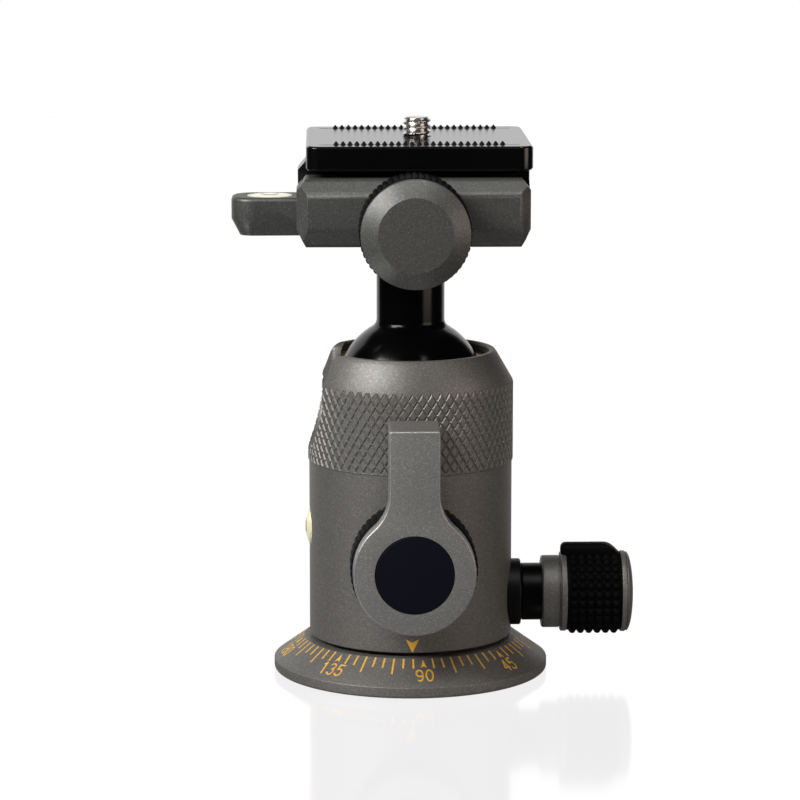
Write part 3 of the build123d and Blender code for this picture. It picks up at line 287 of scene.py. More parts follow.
def copies(piece, count, places=None, **choice):
    """Real copies of a piece on so many points, which stand at the given places."""
    tree = piece.id_data
    points = node(tree, "GeometryNodeMeshLine", {"Offset": (0, 0, 0), "Count": count}).outputs["Mesh"]
    if places:
        points = moved(points, places)
    put = node(tree, "GeometryNodeInstanceOnPoints", {"Points": points, "Instance": piece, **choice})
    return node(tree, "GeometryNodeRealizeInstances", {0: put.outputs["Instances"]}).outputs[0]


def hand_out(geometry, material):
    """Give the geometry its finish and pass it out of the tree."""
    coat = node(geometry.id_data, "GeometryNodeSetMaterial", {"Geometry": geometry, "Material": material})
    node(geometry.id_data, "NodeGroupOutput", {0: coat.outputs["Geometry"]})


def grown(obj, tree, material, crease=32, **sizes):
    """Run a Geometry Nodes tree on an object with named inputs, and keep the result as a plain mesh."""
    change = obj.modifiers.new("repeat", "NODES")
    change.node_group = tree
    for item in tree.interface.items_tree:
        if item.item_type == "SOCKET" and item.in_out == "INPUT":
            key = item.name.lower().replace(" ", "_")
            if key == "finish":
                change[item.identifier] = material
            elif key in sizes:
                change[item.identifier] = sizes[key]
    return smooth(plain(obj), crease)


# The tree: a piece repeated round the Z axis at an angle step, with every so many left out.
none_left_out = 1000000
round_tree, given = new_tree("round_the_axis", count=12, step=0.5, first=0.0, left_out=none_left_out)
number = node(round_tree, "GeometryNodeInputIndex").outputs[0]
turn = sums("MULTIPLY_ADD", number, given["Step"], given["First"])
kept = sums("GREATER_THAN", sums("MODULO", number, given["Left out"]), 0.5)
all_kept = sums("GREATER_THAN", given["Left out"], none_left_out / 1000)
chosen = {"Rotation": xyz(Z=turn), "Selection": sums("MAXIMUM", kept, all_kept)}
hand_out(copies(given["Piece"], given["Count"], **chosen), given["Finish"])

for name, shape, count, left_out in (
    ("short_lines", dial_line(2.95), 72, 3),
    ("long_lines", dial_line(4.7), 24, 3),
    ("arrows", ink_patch([(0, 0.35), (0.66, 2.8), (0, 2.3), (-0.66, 2.8)]), 8, none_left_out),
):
    piece = solid(name, *shape, yellow_ink)
    step = 2 * pi / count
    grown(piece, round_tree, yellow_ink, count=count, step=step, first=radians(5), left_out=left_out)
    add_to(piece, "base", "painted_grey")


def arc(x, y, wide, high, first, last, steps=14):
    """Points of an ellipse's arc, angles in degrees from the right, upwards."""
    turn = [radians(first + (last - first) * k / steps) for k in range(steps + 1)]
    return [(x + wide * cos(a), y + high * sin(a)) for a in turn]


# Strokes of each figure in a box one wide and 1.8 high.
box_high = 1.8
strokes = {
    "0": [arc(0.5, 0.9, 0.46, 0.86, 90, 450, 28)],
    "1": [[(0.22, 1.42), (0.56, 1.76), (0.56, 0.03)]],
    "2": [arc(0.5, 1.3, 0.44, 0.46, 165, -35) + [(0.08, 0.04), (0.96, 0.04)]],
    "3": [arc(0.48, 1.34, 0.4, 0.42, 150, -85), arc(0.48, 0.49, 0.46, 0.46, 85, -155)],
    "4": [[(0.72, 0.03), (0.72, 1.72), (0.04, 0.52), (1.0, 0.52)]],
    "5": [[(0.88, 1.76), (0.2, 1.76), (0.12, 1.02)] + arc(0.46, 0.58, 0.46, 0.54, 125, -150)],
    "7": [[(0.05, 1.76), (0.95, 1.76), (0.36, 0.03)]],
    "8": [arc(0.5, 1.34, 0.36, 0.42, 90, 450, 24), arc(0.5, 0.48, 0.44, 0.45, 90, 450, 24)],
    "9": [arc(0.5, 1.25, 0.43, 0.5, -20, 340, 24) + arc(0.5, 0.9, 0.44, 0.86, 0, -120)],
}


def join(shapes):
    """Points and faces of several shapes taken together."""
    verts, faces = [], []
    for more_verts, more_faces in shapes:
        faces += [tuple(i + len(verts) for i in face) for face in more_faces]
        verts += more_verts
    return verts, faces


def ink_stroke(points, width=0.4):
    """A ribbon of ink along points on the cone, as one slab to each pair of points with round joints."""
    slabs = []
    for start, stop in zip(points, points[1:]):
        along = (Vector(stop) - Vector(start)).normalized() * width / 2
        side = Vector((-along.y, along.x))
        ring = []
        for end, way in ((Vector(stop), 1), (Vector(start), -1)):
            for turn in (-90, -45, 0, 45, 90):
                a = radians(turn)
                ring.append(tuple(end + way * (along * cos(a) + side * sin(a))))
        slabs.append(ink_patch(ring))
    return join(slabs)


figure_high, figure_wide, figure_gap, figure_middle, dial_at_front = 3.3, 1.62, 0.62, 5.05, 95
for value in range(0, 360, 45):
    text = str(value)
    whole = len(text) * figure_wide + (len(text) - 1) * figure_gap
    ribbons = []
    for i, sign in enumerate(text):
        left = i * (figure_wide + figure_gap) - whole / 2
        for stroke in strokes[sign]:
            row = [
                (left + x * figure_wide, figure_middle + figure_high / 2 - y / box_high * figure_high)
                for x, y in stroke
            ]
            ribbons.append(ink_stroke(row))
    piece = solid("number_" + text, *join(ribbons), yellow_ink)
    piece.data.transform(Matrix.Rotation(radians(dial_at_front - value), 4, "Z"))
    add_to(piece, "base", "painted_grey")

# ----------------------------------------
# Inside the base: the steel thread insert, and on the pivot the slip washer, the disc that keeps
# the housing down and its three countersunk screws.
steel = finish("steel", (0.55, 0.54, 0.53), 0.3, metal=1.0, grain=0.08, size=0.4, spread=0.06)
nylon = finish("nylon", (0.72, 0.71, 0.66), 0.5, grain=0.04)


def dress(material, *nodes):
    """Give CAD pieces that are shown as they are a finish."""
    for name in nodes:
        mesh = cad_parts[name].data
        mesh.materials.clear()
        mesh.materials.append(material)


dress(steel, "tripod_bushing", "pan_retainer", "retainer_screws")
dress(nylon, "pan_washer")

# ----------------------------------------
# Housing: an aluminium barrel turned in one piece, its collar coned in to a rounded rim. The drop
# notch, the seats of the two bushes and the pocket of the level are cut into it.
barrel_radius, band_radius, band_floor, barrel_low = 23.25, 23.5, 23.22, 8.5
band_low, band_high, rim_radius, cone_top, rim_top = 49.2, 67.2, 19.8, 73.6, 74.4
ball_bore, ball_bore_low, lift_bore, web_low, web_high, pivot_hole = 18.0, 42.9, 9.1, 20.8, 23.2, 6.5
cone_fall = (band_radius - rim_radius) / (cone_top - band_high)
groove_end = band_high + (band_radius - band_floor) / cone_fall
lock_z, pan_z, level_z, ball_centre = 29.7, 17.45, 33.2, 65.0
lock_axis, pan_axis, level_axis = ("Y", (0, 0, lock_z)), ("X", (0, 0, pan_z)), ("X", (0, 0, level_z))
housing = turning(
    "housing_look",
    [
        (ball_bore, barrel_low, 0), (barrel_radius, barrel_low, 0.35),
        (barrel_radius, band_low - 0.25, 0.1), (band_radius, band_low, 0.08),
        (band_floor, band_low + 0.25, 0), (band_floor, groove_end, 0), (rim_radius, cone_top, 0.5),
        (19.2, rim_top, 0.35), (18.3, rim_top, 0.3), (ball_bore, 73.9, 0.15), (ball_bore, ball_bore_low, 0),
        (lift_bore, ball_bore_low, 0), (lift_bore, web_high, 0), (pivot_hole, web_high, 0),
        (pivot_hole, web_low, 0), (ball_bore, web_low, 0),
    ],
    grey_paint, segments=256, steps=4,
)


def skin(rings, count):
    """Faces between rings of so many points each, and one across each end."""
    faces = []
    for first in range(0, (rings - 1) * count, count):
        for k in range(count):
            n = (k + 1) % count
            faces.append((first + k, first + n, first + count + n, first + count + k))
    return faces + [tuple(range(count)), tuple(range((rings - 1) * count, rings * count))]


throat, throat_flare, flare_start, flare_long, outer_flare = 8.4, 3.6, 17.2, 3.2, 0.45


def notch_tool():
    """The drop notch: a U open at the top. Its mouth flares outwards and its two top corners are rounded."""
    verts = []
    stations = [14.0] + [flare_start + flare_long / 8 * k for k in range(9)] + [23.6, 27.0]
    for across in stations:
        share = min(1, max(0, (across - flare_start) / flare_long))
        radius = throat + throat_flare * share**2 * (3 - 2 * share)
        radius += outer_flare * max(0, across - flare_start - flare_long)
        corner = ((14.0, 90.0), (2.8, 74.6), (1.5, 74.1), (0.6, 73.4), (0.15, 72.6))
        arm = [(radius + out, z) for out, z in corner]
        ring = arm + [
            (radius * cos(a), ball_centre - radius * sin(a)) for a in (pi * k / 36 for k in range(37))
        ]
        ring += [(-y, z) for y, z in arm[::-1]]
        verts += [(-across, y, z) for y, z in ring]
    return verts, skin(len(stations), len(ring))


def shaped(obj, *tools, way="DIFFERENCE", crease=32):
    """Cut closed shapes out of an object, or join them to it. The shapes are used up."""
    for points, faces in tools:
        tool = solid("tool", points, faces, obj.data.materials[0])
        change = obj.modifiers.new("shape", "BOOLEAN")
        change.operation, change.solver, change.object = way, "EXACT", tool
        smooth(plain(obj), crease)
        bpy.data.objects.remove(tool)
    return obj


def drill(radius, start, end, axis, centre, segments=96):
    """A round plug from start to end along an axis, to cut a hole or a pocket."""
    return lathe([(0, start), (radius, start), (radius, end), (0, end)], axis, centre, segments)


shaped(
    housing,
    notch_tool(),
    drill(8.2, -30, -22.3, *lock_axis),  # for the flange of the lever's bush
    drill(5.6, -24, -9.6, *lock_axis, 64),  # for its body
    drill(7.85, 30, 22.0, *pan_axis),  # for the flange of the panning lock's bush
    drill(5.05, 24, 16, *pan_axis, 64),  # for its body
    drill(5.05, -30, -19.85, *level_axis),  # for the cup of the level
)
add_to(housing, "housing", "painted_grey", "housing_body")

# ----------------------------------------
# Knurl: a diamond pattern rolled into the band, seventy diamonds round and twelve staggered rows.
# Each is a low stud with bevelled flanks. A tree lays them out flat and wraps them round the band;
# at the top the grooves run out into the cone.
knurl_sizes = dict(
    round=70, rows=12, radius=band_floor * mm, low=(band_low + 0.1) * mm, high=(groove_end - 0.05) * mm,
    cone_foot=band_high * mm, cone_fall=cone_fall, outside=band_radius * mm,
)
tree, given = new_tree("wrapped_knurl", **knurl_sizes)
number = node(tree, "GeometryNodeInputIndex").outputs[0]
row = sums("FLOOR", sums("DIVIDE", number, given["Round"]))
column = sums("MODULO", number, given["Round"])
stagger = sums("MULTIPLY", sums("MODULO", row, 2), 0.5)
pitch = sums("DIVIDE", sums("MULTIPLY", given["Radius"], 2 * pi), given["Round"])
tall = sums("SUBTRACT", given["High"], given["Low"])
rise = sums("DIVIDE", tall, sums("SUBTRACT", given["Rows"], 1))
across = sums("MULTIPLY", sums("ADD", column, stagger), pitch)
laid_out = xyz(X=across, Z=sums("MULTIPLY_ADD", row, rise, given["Low"]))
flat = copies(given["Piece"], sums("MULTIPLY", given["Round"], given["Rows"]), laid_out)
here = node(tree, "ShaderNodeSeparateXYZ", {0: node(tree, "GeometryNodeInputPosition").outputs[0]}).outputs
angle = sums("DIVIDE", here["X"], given["Radius"])
height = sums("MINIMUM", sums("MAXIMUM", here["Z"], given["Low"]), given["High"])
above = sums("MAXIMUM", sums("SUBTRACT", height, given["Cone foot"]), 0)
under_cone = sums("SUBTRACT", given["Outside"], sums("MULTIPLY", above, given["Cone fall"]))
reach = sums("MINIMUM", sums("ADD", here["Y"], given["Radius"]), under_cone)
forward = sums("MULTIPLY", reach, sums("MULTIPLY", sums("COSINE", angle), -1))
wrapped = xyz(X=sums("MULTIPLY", reach, sums("SINE", angle)), Y=forward, Z=height)
hand_out(moved(flat, wrapped), given["Finish"])


def diamond(half_wide, half_tall, out):
    """Four corners of a diamond at a height off the band's floor."""
    return [(half_wide, out, 0), (0, out, half_tall), (-half_wide, out, 0), (0, out, -half_tall)]


sunk, crest = -0.2, band_radius - band_floor
foot_wide, foot_tall, crest_wide, crest_tall = 1.03, 1.6, 0.7, 1.09
verts = diamond(foot_wide, foot_tall, sunk) + [(0, sunk, 0)]
verts += diamond(foot_wide, foot_tall, 0.0) + diamond(crest_wide, crest_tall, crest) + [(0, crest, 0)]
faces = []
for k in range(4):
    n = (k + 1) % 4
    faces += [(k, n, 4), (k, n, 5 + n, 5 + k), (5 + k, 5 + n, 9 + n, 9 + k), (9 + k, 9 + n, 13)]
knurl = solid("knurl", verts, faces, grey_paint, 20)
grown(knurl, tree, grey_paint, 20, **knurl_sizes)
welded(knurl.data, thin=True)
shaped(knurl, notch_tool(), crease=20)
add_to(knurl, "housing", "painted_grey")

# ----------------------------------------
# Index mark: a notched arrow in the dial's yellow ink. It is printed on the barrel's foot and
# points down at the dial.
marker = [(-1.7, 11.75), (-0.15, 11.0), (1.4, 11.75), (-0.15, 8.65)]
marker_points = []
for radius in (barrel_radius + 0.03, barrel_radius - 0.05):
    marker_points += [(radius * sin(x / radius), -radius * cos(x / radius), z) for x, z in marker]
mark = solid("index_mark", marker_points, skin(2, 4), yellow_ink)
add_to(mark, "housing", "painted_grey")

# ----------------------------------------
# Seat ring: turned from brass, hollowed to the ball's curve and screwed in over the ball to hold it
# down. It is open at the drop notch.
brass = finish("brass", (0.62, 0.46, 0.2), 0.28, metal=1.0, grain=0.08, size=0.5, spread=0.06)


def bar(outline, low, high, low_edge=0.0, high_edge=0.0, steps=3, axis="Y", centre=(0, 0, 0)):
    """Points and faces of an outline drawn out from low to high, with rounded rims at its two ends.

    Axis Y takes the outline as (X, Z), axis X as (Y, Z) and axis Z as (X, Y)."""
    count = len(outline)
    area = sum(outline[i - 1][0] * outline[i][1] - outline[i][0] * outline[i - 1][1] for i in range(count))
    side = 1 if area > 0 else -1
    inward = []
    for i in range(count):
        a, b, c = Vector(outline[i - 1]), Vector(outline[i]), Vector(outline[(i + 1) % count])
        one, two = (b - a).normalized(), (c - b).normalized()
        one, two = Vector((-one.y, one.x)) * side, Vector((-two.y, two.x)) * side
        middle = (one + two).normalized()
        inward.append(middle / max(0.4, middle.dot(one)))
    levels = []
    for edge, end, way in ((low_edge, low, 1), (high_edge, high, -1)):
        row = []
        for k in range(steps + 1 if edge else 1):
            angle = pi / 2 * k / steps if edge else pi / 2
            row.append((edge * (1 - sin(angle)), end + way * edge * (1 - cos(angle))))
        levels += row if way == 1 else row[::-1]
    verts = []
    for inset, along in levels:
        for (x, y), move in zip(outline, inward):
            verts.append((x + move.x * inset, y + move.y * inset, along))
    turn = {"Z": lambda p: p, "Y": lambda p: (p[0], p[2], p[1]), "X": lambda p: (p[2], p[0], p[1])}[axis]
    return [tuple(c + o for c, o in zip(turn(p), centre)) for p in verts], skin(len(levels), count)


seat_radius, seat_start, seat_long, seat_outside = 17.1, 3.5, 3.9, 17.95
seat_arc = []
for k in range(11):
    up = seat_start + seat_long * k / 10
    seat_arc.append((sqrt(seat_radius**2 - up * up), ball_centre + up))
seat_arc += [(seat_outside - 0.2, 72.4), (seat_outside, 72.2), (seat_outside, 68.5)]
seat = solid("seat_ring_look", *lathe(seat_arc, segments=200), brass)
notch_half = 8.7
shaped(seat, bar([(-30, 50), (-30, 90), (0, 90), (0, 50)], -notch_half, notch_half))
add_to(seat, "housing", "brass", "seat_ring")

# ----------------------------------------
# Bushes: a bronze one guides the lever's cam shaft, a black one carries the panning lock. Both are
# flanged and pressed into the barrel.
bronze = finish("bronze", (0.3, 0.2, 0.11), 0.4, metal=1.0, grain=0.1, size=0.4, spread=0.06)
black_satin = finish(
    "black_satin", (0.003, 0.003, 0.0032), 0.45, shine=0.2, grain=0.15, bump=0.004, spread=0.04
)


def flanged(bore, flange, body, face, step, end, edges):
    """Corners of a flanged bush: three radii, three places along its axis and five broken edges."""
    return [
        (bore, face, edges[0]), (flange, face, edges[1]), (flange, step, edges[2]), (body, step, 0),
        (body, end, edges[3]), (bore, end, edges[4]),
    ]


bush_corners = flanged(4.05, 8.0, 5.55, -24.0, -22.3, -10.6, (0.15, 0.4, 0.1, 0.2, 0))
lock_bush = turning("lock_bush_look", bush_corners, bronze, *lock_axis, 96)
add_to(lock_bush, "housing", "bronze", "lock_bush")
bush_corners = flanged(2.95, 7.65, 5.0, 25.4, 22.0, 18.3, (0.1, 0.45, 0.05, 0.2, 0))
pan_bush = turning("pan_lock_bush_look", bush_corners, black_satin, *pan_axis, 128)
add_to(pan_bush, "housing", "anodised_black", "pan_lock_bush")

# ----------------------------------------
# Body level: a pale plastic cup pressed into the left side, and a domed vial with a black target
# ring and a bubble under its top.
cup_ivory = finish("cup_ivory", (0.84, 0.78, 0.62), 0.4, coat=0.3, grain=0.05)
level_fluid = finish("level_fluid", (0.88, 0.84, 0.5), 0.12, coat=1.0, grain=0.04, size=1.5)
level_black = finish("level_black", (0.01, 0.01, 0.01), 0.35, grain=0.1)
bubble_light = finish("bubble_light", (0.86, 0.87, 0.7), 0.08, coat=1.0, grain=0.03, size=1.0)


def level(name, axis, centre, cup_radius, cup_low, cup_top, vial_radius, vial_rim, proud, way, body, nodes):
    """A round level: cup, vial with a shallow dome, target ring and bubble, standing along an axis."""
    inside = vial_radius + 0.05
    cup_corners = [(inside, cup_low, 0), (cup_radius, cup_low, 0)]
    cup_corners += [(cup_radius, cup_top, 0.15), (inside, cup_top, 0.1)]
    cup = turning(name + "_cup_look", cup_corners, cup_ivory, axis, centre, 96, 3)
    add_to(cup, body, "level_cup", nodes[0])
    dome = (vial_radius**2 + proud**2) / (2 * proud)

    def top_at(radius, off=0.0):
        return vial_rim + way * (proud - dome + sqrt(dome**2 - radius**2) + off)

    profile = [(vial_radius * (1 - k / 14), top_at(vial_radius * (1 - k / 14))) for k in range(15)]
    profile += [(0, cup_low), (vial_radius, cup_low)]
    vial = solid(name + "_vial_look", *lathe(profile, axis, centre, 96), level_fluid)
    add_to(vial, body, "level_fluid", nodes[1])
    inner, line = 0.42 * vial_radius, 0.22
    ring = [(inner, top_at(inner, 0.012)), (inner + line, top_at(inner + line, 0.012))]
    ring += [(inner + line, top_at(inner + line, -0.1)), (inner, top_at(inner, -0.1))]
    target = solid(name + "_target", *lathe(ring, axis, centre, 64), level_black)
    add_to(target, body, "level_fluid")
    bulge = []
    for angle in (0, 20, 40, 60, 90):
        a = radians(angle)
        bulge.append((0.36 * vial_radius * sin(a), top_at(0, 0.02 * (cos(a) - 0.9))))
    bulge += [(0, top_at(0, -0.15))]
    bubble = solid(name + "_bubble", *lathe(bulge, axis, centre, 48), bubble_light)
    add_to(bubble, body, "level_fluid")


level(
    "body_level", *level_axis, cup_radius=5.0, cup_low=-19.85, cup_top=-22.95, vial_radius=4.2,
    vial_rim=-23.25, proud=0.9, way=-1, body="housing", nodes=("body_level_cup", "body_level_vial"),
)

# ----------------------------------------
# Ball and neck: turned in one piece and polished black. The parts of the lock under it, the cup
# with its nylon liner, the disc spring, the lifting block and the cam shaft, sit in the barrel.
black_gloss = finish("black_gloss", (0.0012, 0.0012, 0.0013), 0.18, shine=0.2, grain=0.1, spread=0.02)
ball_radius, neck_radius, neck_round, neck_top, bolt_radius, bolt_low = 17.0, 7.75, 2.2, 101.0, 3.05, 88.7
round_centre = neck_radius + neck_round
round_rise = sqrt((ball_radius + neck_round) ** 2 - round_centre**2)
touch = atan2(round_rise, round_centre)
profile = [
    (ball_radius * cos(a), ball_centre + ball_radius * sin(a))
    for a in (-pi / 2 + (touch + pi / 2) * k / 60 for k in range(61))
]
profile[0] = (0, profile[0][1])
for k in range(1, 13):
    a = touch + pi - touch * k / 12
    profile.append((round_centre + neck_round * cos(a), ball_centre + round_rise + neck_round * sin(a)))
top_corners = [(neck_radius, neck_top, 0.3), (bolt_radius, neck_top, 0), (bolt_radius, bolt_low, 0)]
profile += rounded(top_corners + [(0, bolt_low, 0), (neck_radius, 90, 0)])[:-1]
ball = solid("ball_look", *lathe(profile, segments=192), black_gloss)
add_to(ball, "ball", "polished_black", "ball_stem")
dress(steel, "lift_block", "disc_spring", "cam_shaft")
dress(black_satin, "ball_cup")
dress(nylon, "cup_liner")

# ----------------------------------------
# Lock lever: a cast disc with an arm, open at the back, painted a lighter grey. It turns the cam
# shaft by two flats; the screw that holds it is under the cap.
lever_paint = finish(
    "lever_paint", (0.36, 0.358, 0.348), 0.5, metal=0.86, grain=0.24, size=0.19, bump=0.014, sparkle=0.85
)
disc_radius, half_arm, flare, reach_up, arm_foot, arm_wall = 13.65, 5.625, 10.2, 32.2, lock_z + 15.0, 2.0
front, plate_back, back = -38.2, -33.2, -24.3
flare_side = half_arm + flare
flare_rise = sqrt((disc_radius + flare) ** 2 - flare_side**2)
meet = atan2(flare_rise, flare_side)
half = [(half_arm, reach_up)]
for k in range(11):
    a = pi + meet * k / 10
    half.append((flare_side + flare * cos(a), flare_rise + flare * sin(a)))
for k in range(1, 31):
    a = meet - (meet + pi / 2) * k / 30
    half.append((disc_radius * cos(a), disc_radius * sin(a)))
outline = half + [(-x, y) for x, y in half[-2::-1]]
outline = rounded([(x, y + lock_z, 0.55 if y == reach_up else 0) for x, y in outline], 5)
lever = solid("lever_look", *bar(outline, front, plate_back, 0.42, 0.1, 4), lever_paint, 35)


def arm_outline(inset, foot, edge, steps):
    """The arm from the front, drawn in by an inset, with its two top corners rounded."""
    wide, top = half_arm - inset, lock_z + reach_up - inset
    return rounded([(wide, top, edge), (-wide, top, edge), (-wide, foot, 0), (wide, foot, 0)], steps)


arm = bar(arm_outline(0, arm_foot, 0.55, 5), plate_back - 1.0, back, 0, 0.35)
shaped(lever, arm, way="UNION", crease=35)
cap_floor = -36.6
shaped(
    lever,
    bar(arm_outline(arm_wall, arm_foot - 1, 0.6, 4), -35.0, back + 1),
    lathe([(0, -39), (9.0, -39), (8.84, -38.05), (8.78, cap_floor), (0, cap_floor)], *lock_axis, 128),
    drill(4.4, -37, -34.6, *lock_axis, 64),  # for the screw's head
    drill(2.05, -37, -33.0, *lock_axis, 48),  # for its shank
    crease=35,
)
hub_front, shaft_hole, hub_outside = plate_back - 0.05, 4.05, 9.9
hub = [(shaft_hole, hub_front), (hub_outside, hub_front), (hub_outside, back), (shaft_hole, back)]
hub_piece = solid("lever_hub", *lathe(hub, *lock_axis, 96), lever_paint)
add_to(lever, "lock_lever", "painted_grey", "lever")
add_to(hub_piece, "lock_lever", "painted_grey")

# Blank cap of dark blue-black plastic, pressed into the disc over the screw.
cap_plastic = finish("cap_plastic", (0.0034, 0.0035, 0.009), 0.5, shine=0.12, grain=0.08, spread=0.03)
cap_corners = [(0, cap_floor, 0), (0, -38.12, 0), (8.74, -38.12, 0.4), (8.76, cap_floor, 0)]
cap = turning("lever_cap_look", cap_corners, cap_plastic, *lock_axis, 128)
add_to(cap, "lock_lever", "cap_plastic", "lever_cap")
dress(steel, "lever_screw")

# ----------------------------------------
# Rubber ring: moulded with fifty-four round ribs and pushed over the lever's hub, behind its disc,
# so that it turns with the lever.
rubber = finish("rubber", (0.0045, 0.0045, 0.0048), 0.62, shine=0.12, grain=0.2, bump=0.01, spread=0.06)
ribs_round = 54


def rib(radius, low, high, wide, tall):
    """One rounded rib that stands on a ring of the given radius, along the axis."""
    section = [(-wide / 2, -0.3), (-wide / 2, 0), (-0.4 * wide, 0.62 * tall)]
    section += [(-0.24 * wide, 0.92 * tall), (0, tall)]
    section += [(-x, y) for x, y in section[-2::-1]]
    return bar([(x, -(radius + y)) for x, y in section], low, high, 0.22, 0.22, 2, "Z")


def laid(obj, axis, centre):
    """Lay a piece that was made about Z over onto axis X or Y through a centre, in its mesh."""
    lay = {"Y": Matrix.Rotation(pi / 2, 4, "X"), "X": Matrix.Rotation(pi / 2, 4, "Y")}[axis]
    obj.data.transform(Matrix.Translation(Vector(centre) * mm) @ lay)
    return obj


def ribbed_ring(ring_name, ribs_name, corners, one_rib, line, body, node_name):
    """A rubber ring about an axis, and its ribs."""
    ring = turning(ring_name, corners, rubber, *line, 128, 3)
    add_to(ring, body, "rubber", node_name)
    ribs = solid(ribs_name, *one_rib, rubber, 40)
    grown(ribs, round_tree, rubber, 40, count=ribs_round, step=2 * pi / ribs_round)
    add_to(laid(ribs, *line), body, "rubber")


ribbed_ring(
    "lever_grip_look", "lever_grip_ribs",
    [(9.95, plate_back, 0), (13.8, plate_back, 0.3), (13.8, back, 0.3), (9.95, back, 0)],
    rib(13.75, 24.45, 33.05, 1.6, 0.45), lock_axis, "lock_lever", "lever_grip",
)

# ----------------------------------------
# Panning lock: a black anodised stud, screwed in through its bush, with a soft pad at its tip that
# presses on the hub. On the stud sit a painted collar, a rubber grip and a painted, domed end cap.
stud_black = finish("stud_black", (0.0016, 0.0016, 0.0017), 0.34, shine=0.12, grain=0.1, spread=0.02)
stud_radius, neck_start, neck_end, bulb_radius = 2.9, 25.6, 30.2, 6.6
stud = turning(
    "pan_knob_stud_look",
    [
        (0, 20.0, 0), (stud_radius, 20.0, 0.3), (stud_radius, neck_start, 0),
        (bulb_radius, neck_start, 0.25), (bulb_radius, neck_end, 0), (stud_radius, neck_end, 0),
        (stud_radius, 47.3, 0), (0, 47.3, 0),
    ],
    stud_black, *pan_axis, 128,
)
add_to(stud, "pan_knob", "anodised_black", "pan_knob_stud")

stud_hole, collar_end = 2.95, 35.9
collar = turning(
    "pan_knob_collar_look",
    [
        (stud_hole, neck_end, 0), (8.35, neck_end, 0.5), (8.35, 34.2, 0.12), (8.0, 34.2, 0),
        (8.0, 34.55, 0), (9.2, 34.55, 0.3), (9.2, collar_end, 0.25), (stud_hole, collar_end, 0),
    ],
    grey_paint, *pan_axis, 160, 4,
)
shaped(collar, drill(stud_hole, 30, 36, *pan_axis, 64))
add_to(collar, "pan_knob", "painted_grey", "pan_knob_collar")

grip_end, cap_radius, cap_end = 48.5, 9.35, 51.4
cap_outline = rounded([(0, grip_end, 0), (cap_radius, grip_end, 0.15), (cap_radius, 49.7, 0.35)], 4)
cap_outline += [(9.2 * cos(radians(a)), 49.78 + 1.62 * sin(radians(a))) for a in range(5, 90, 5)]
end_cap = solid("pan_knob_cap_look", *lathe(cap_outline + [(0, cap_end)], *pan_axis, 160), grey_paint)
add_to(end_cap, "pan_knob", "painted_grey", "pan_knob_cap")
dress(nylon, "pan_brake_pad")

# Rubber grip: a sleeve with a rounded tab along it that falls away towards the cap, and six rings
# of teeth, each of twenty-eight. A tree repeats a row of six teeth round the axis.
grip_rubber = finish(
    "grip_rubber", (0.0024, 0.0024, 0.0026), 0.6, shine=0.06, grain=0.2, bump=0.01, spread=0.06
)
core_radius, tab_side, tab_top, tab_round, tab_start = 9.0, 2.2, pan_z + 11.5, 1.6, 34.65
grip = turning(
    "pan_knob_grip_look",
    [
        (stud_hole, collar_end, 0), (core_radius, collar_end, 0.3), (core_radius, grip_end, 0.2),
        (stud_hole, grip_end, 0),
    ],
    grip_rubber, *pan_axis, 128, 3,
)
tab = [(-tab_side, pan_z, 0), (tab_side, pan_z, 0)]
tab += [(tab_side, tab_top, tab_round), (-tab_side, tab_top, tab_round)]
shaped(grip, bar(rounded(tab, 8), tab_start, grip_end, 1.2, 0.1, 6, "X"), way="UNION")
fall = [(43.9, 32), (49.5, 32), (49.5, 25.3), (48.4, 26.3), (47.2, 27.5), (46.5, 28.1), (45.8, 28.55)]
shaped(grip, bar(fall + [(45.0, 28.82), (43.9, 28.97)], -6, 6))
add_to(grip, "pan_knob", "rubber", "pan_knob_grip")

tooth_pitch, tooth_rows, teeth_round, teeth_middle = 1.93, 6, 28, 42.2
tooth_corners = ((1, 0.6), (0.6, 1), (-0.6, 1), (-1, 0.6), (-1, -0.6), (-0.6, -1), (0.6, -1), (1, -0.6))
tooth_sections = ((0.94, -0.35), (0.94, 0.02), (0.6, 0.5), (0.36, 0.74), (0.14, 0.8))
row_of_teeth = []
for row in range(tooth_rows):
    middle = teeth_middle + (row - (tooth_rows - 1) / 2) * tooth_pitch
    tooth = [
        (x * wide, -core_radius - out, middle + y * wide * 0.96)
        for wide, out in tooth_sections
        for x, y in tooth_corners
    ]
    row_of_teeth.append((tooth, skin(len(tooth_sections), len(tooth_corners))))
teeth = solid("pan_knob_teeth", *join(row_of_teeth), grip_rubber, 45)
tooth_step = 2 * pi / teeth_round
grown(teeth, round_tree, grip_rubber, 45, count=teeth_round, step=tooth_step, first=tooth_step / 2)
add_to(laid(teeth, *pan_axis), "pan_knob", "rubber")

# ----------------------------------------
# Clamp: a milled body with a rounded nose for its level, a fixed black jaw behind, held by two cap
# screws, and a grey jaw in front that slides on two pins. Their edges are broken by hand.


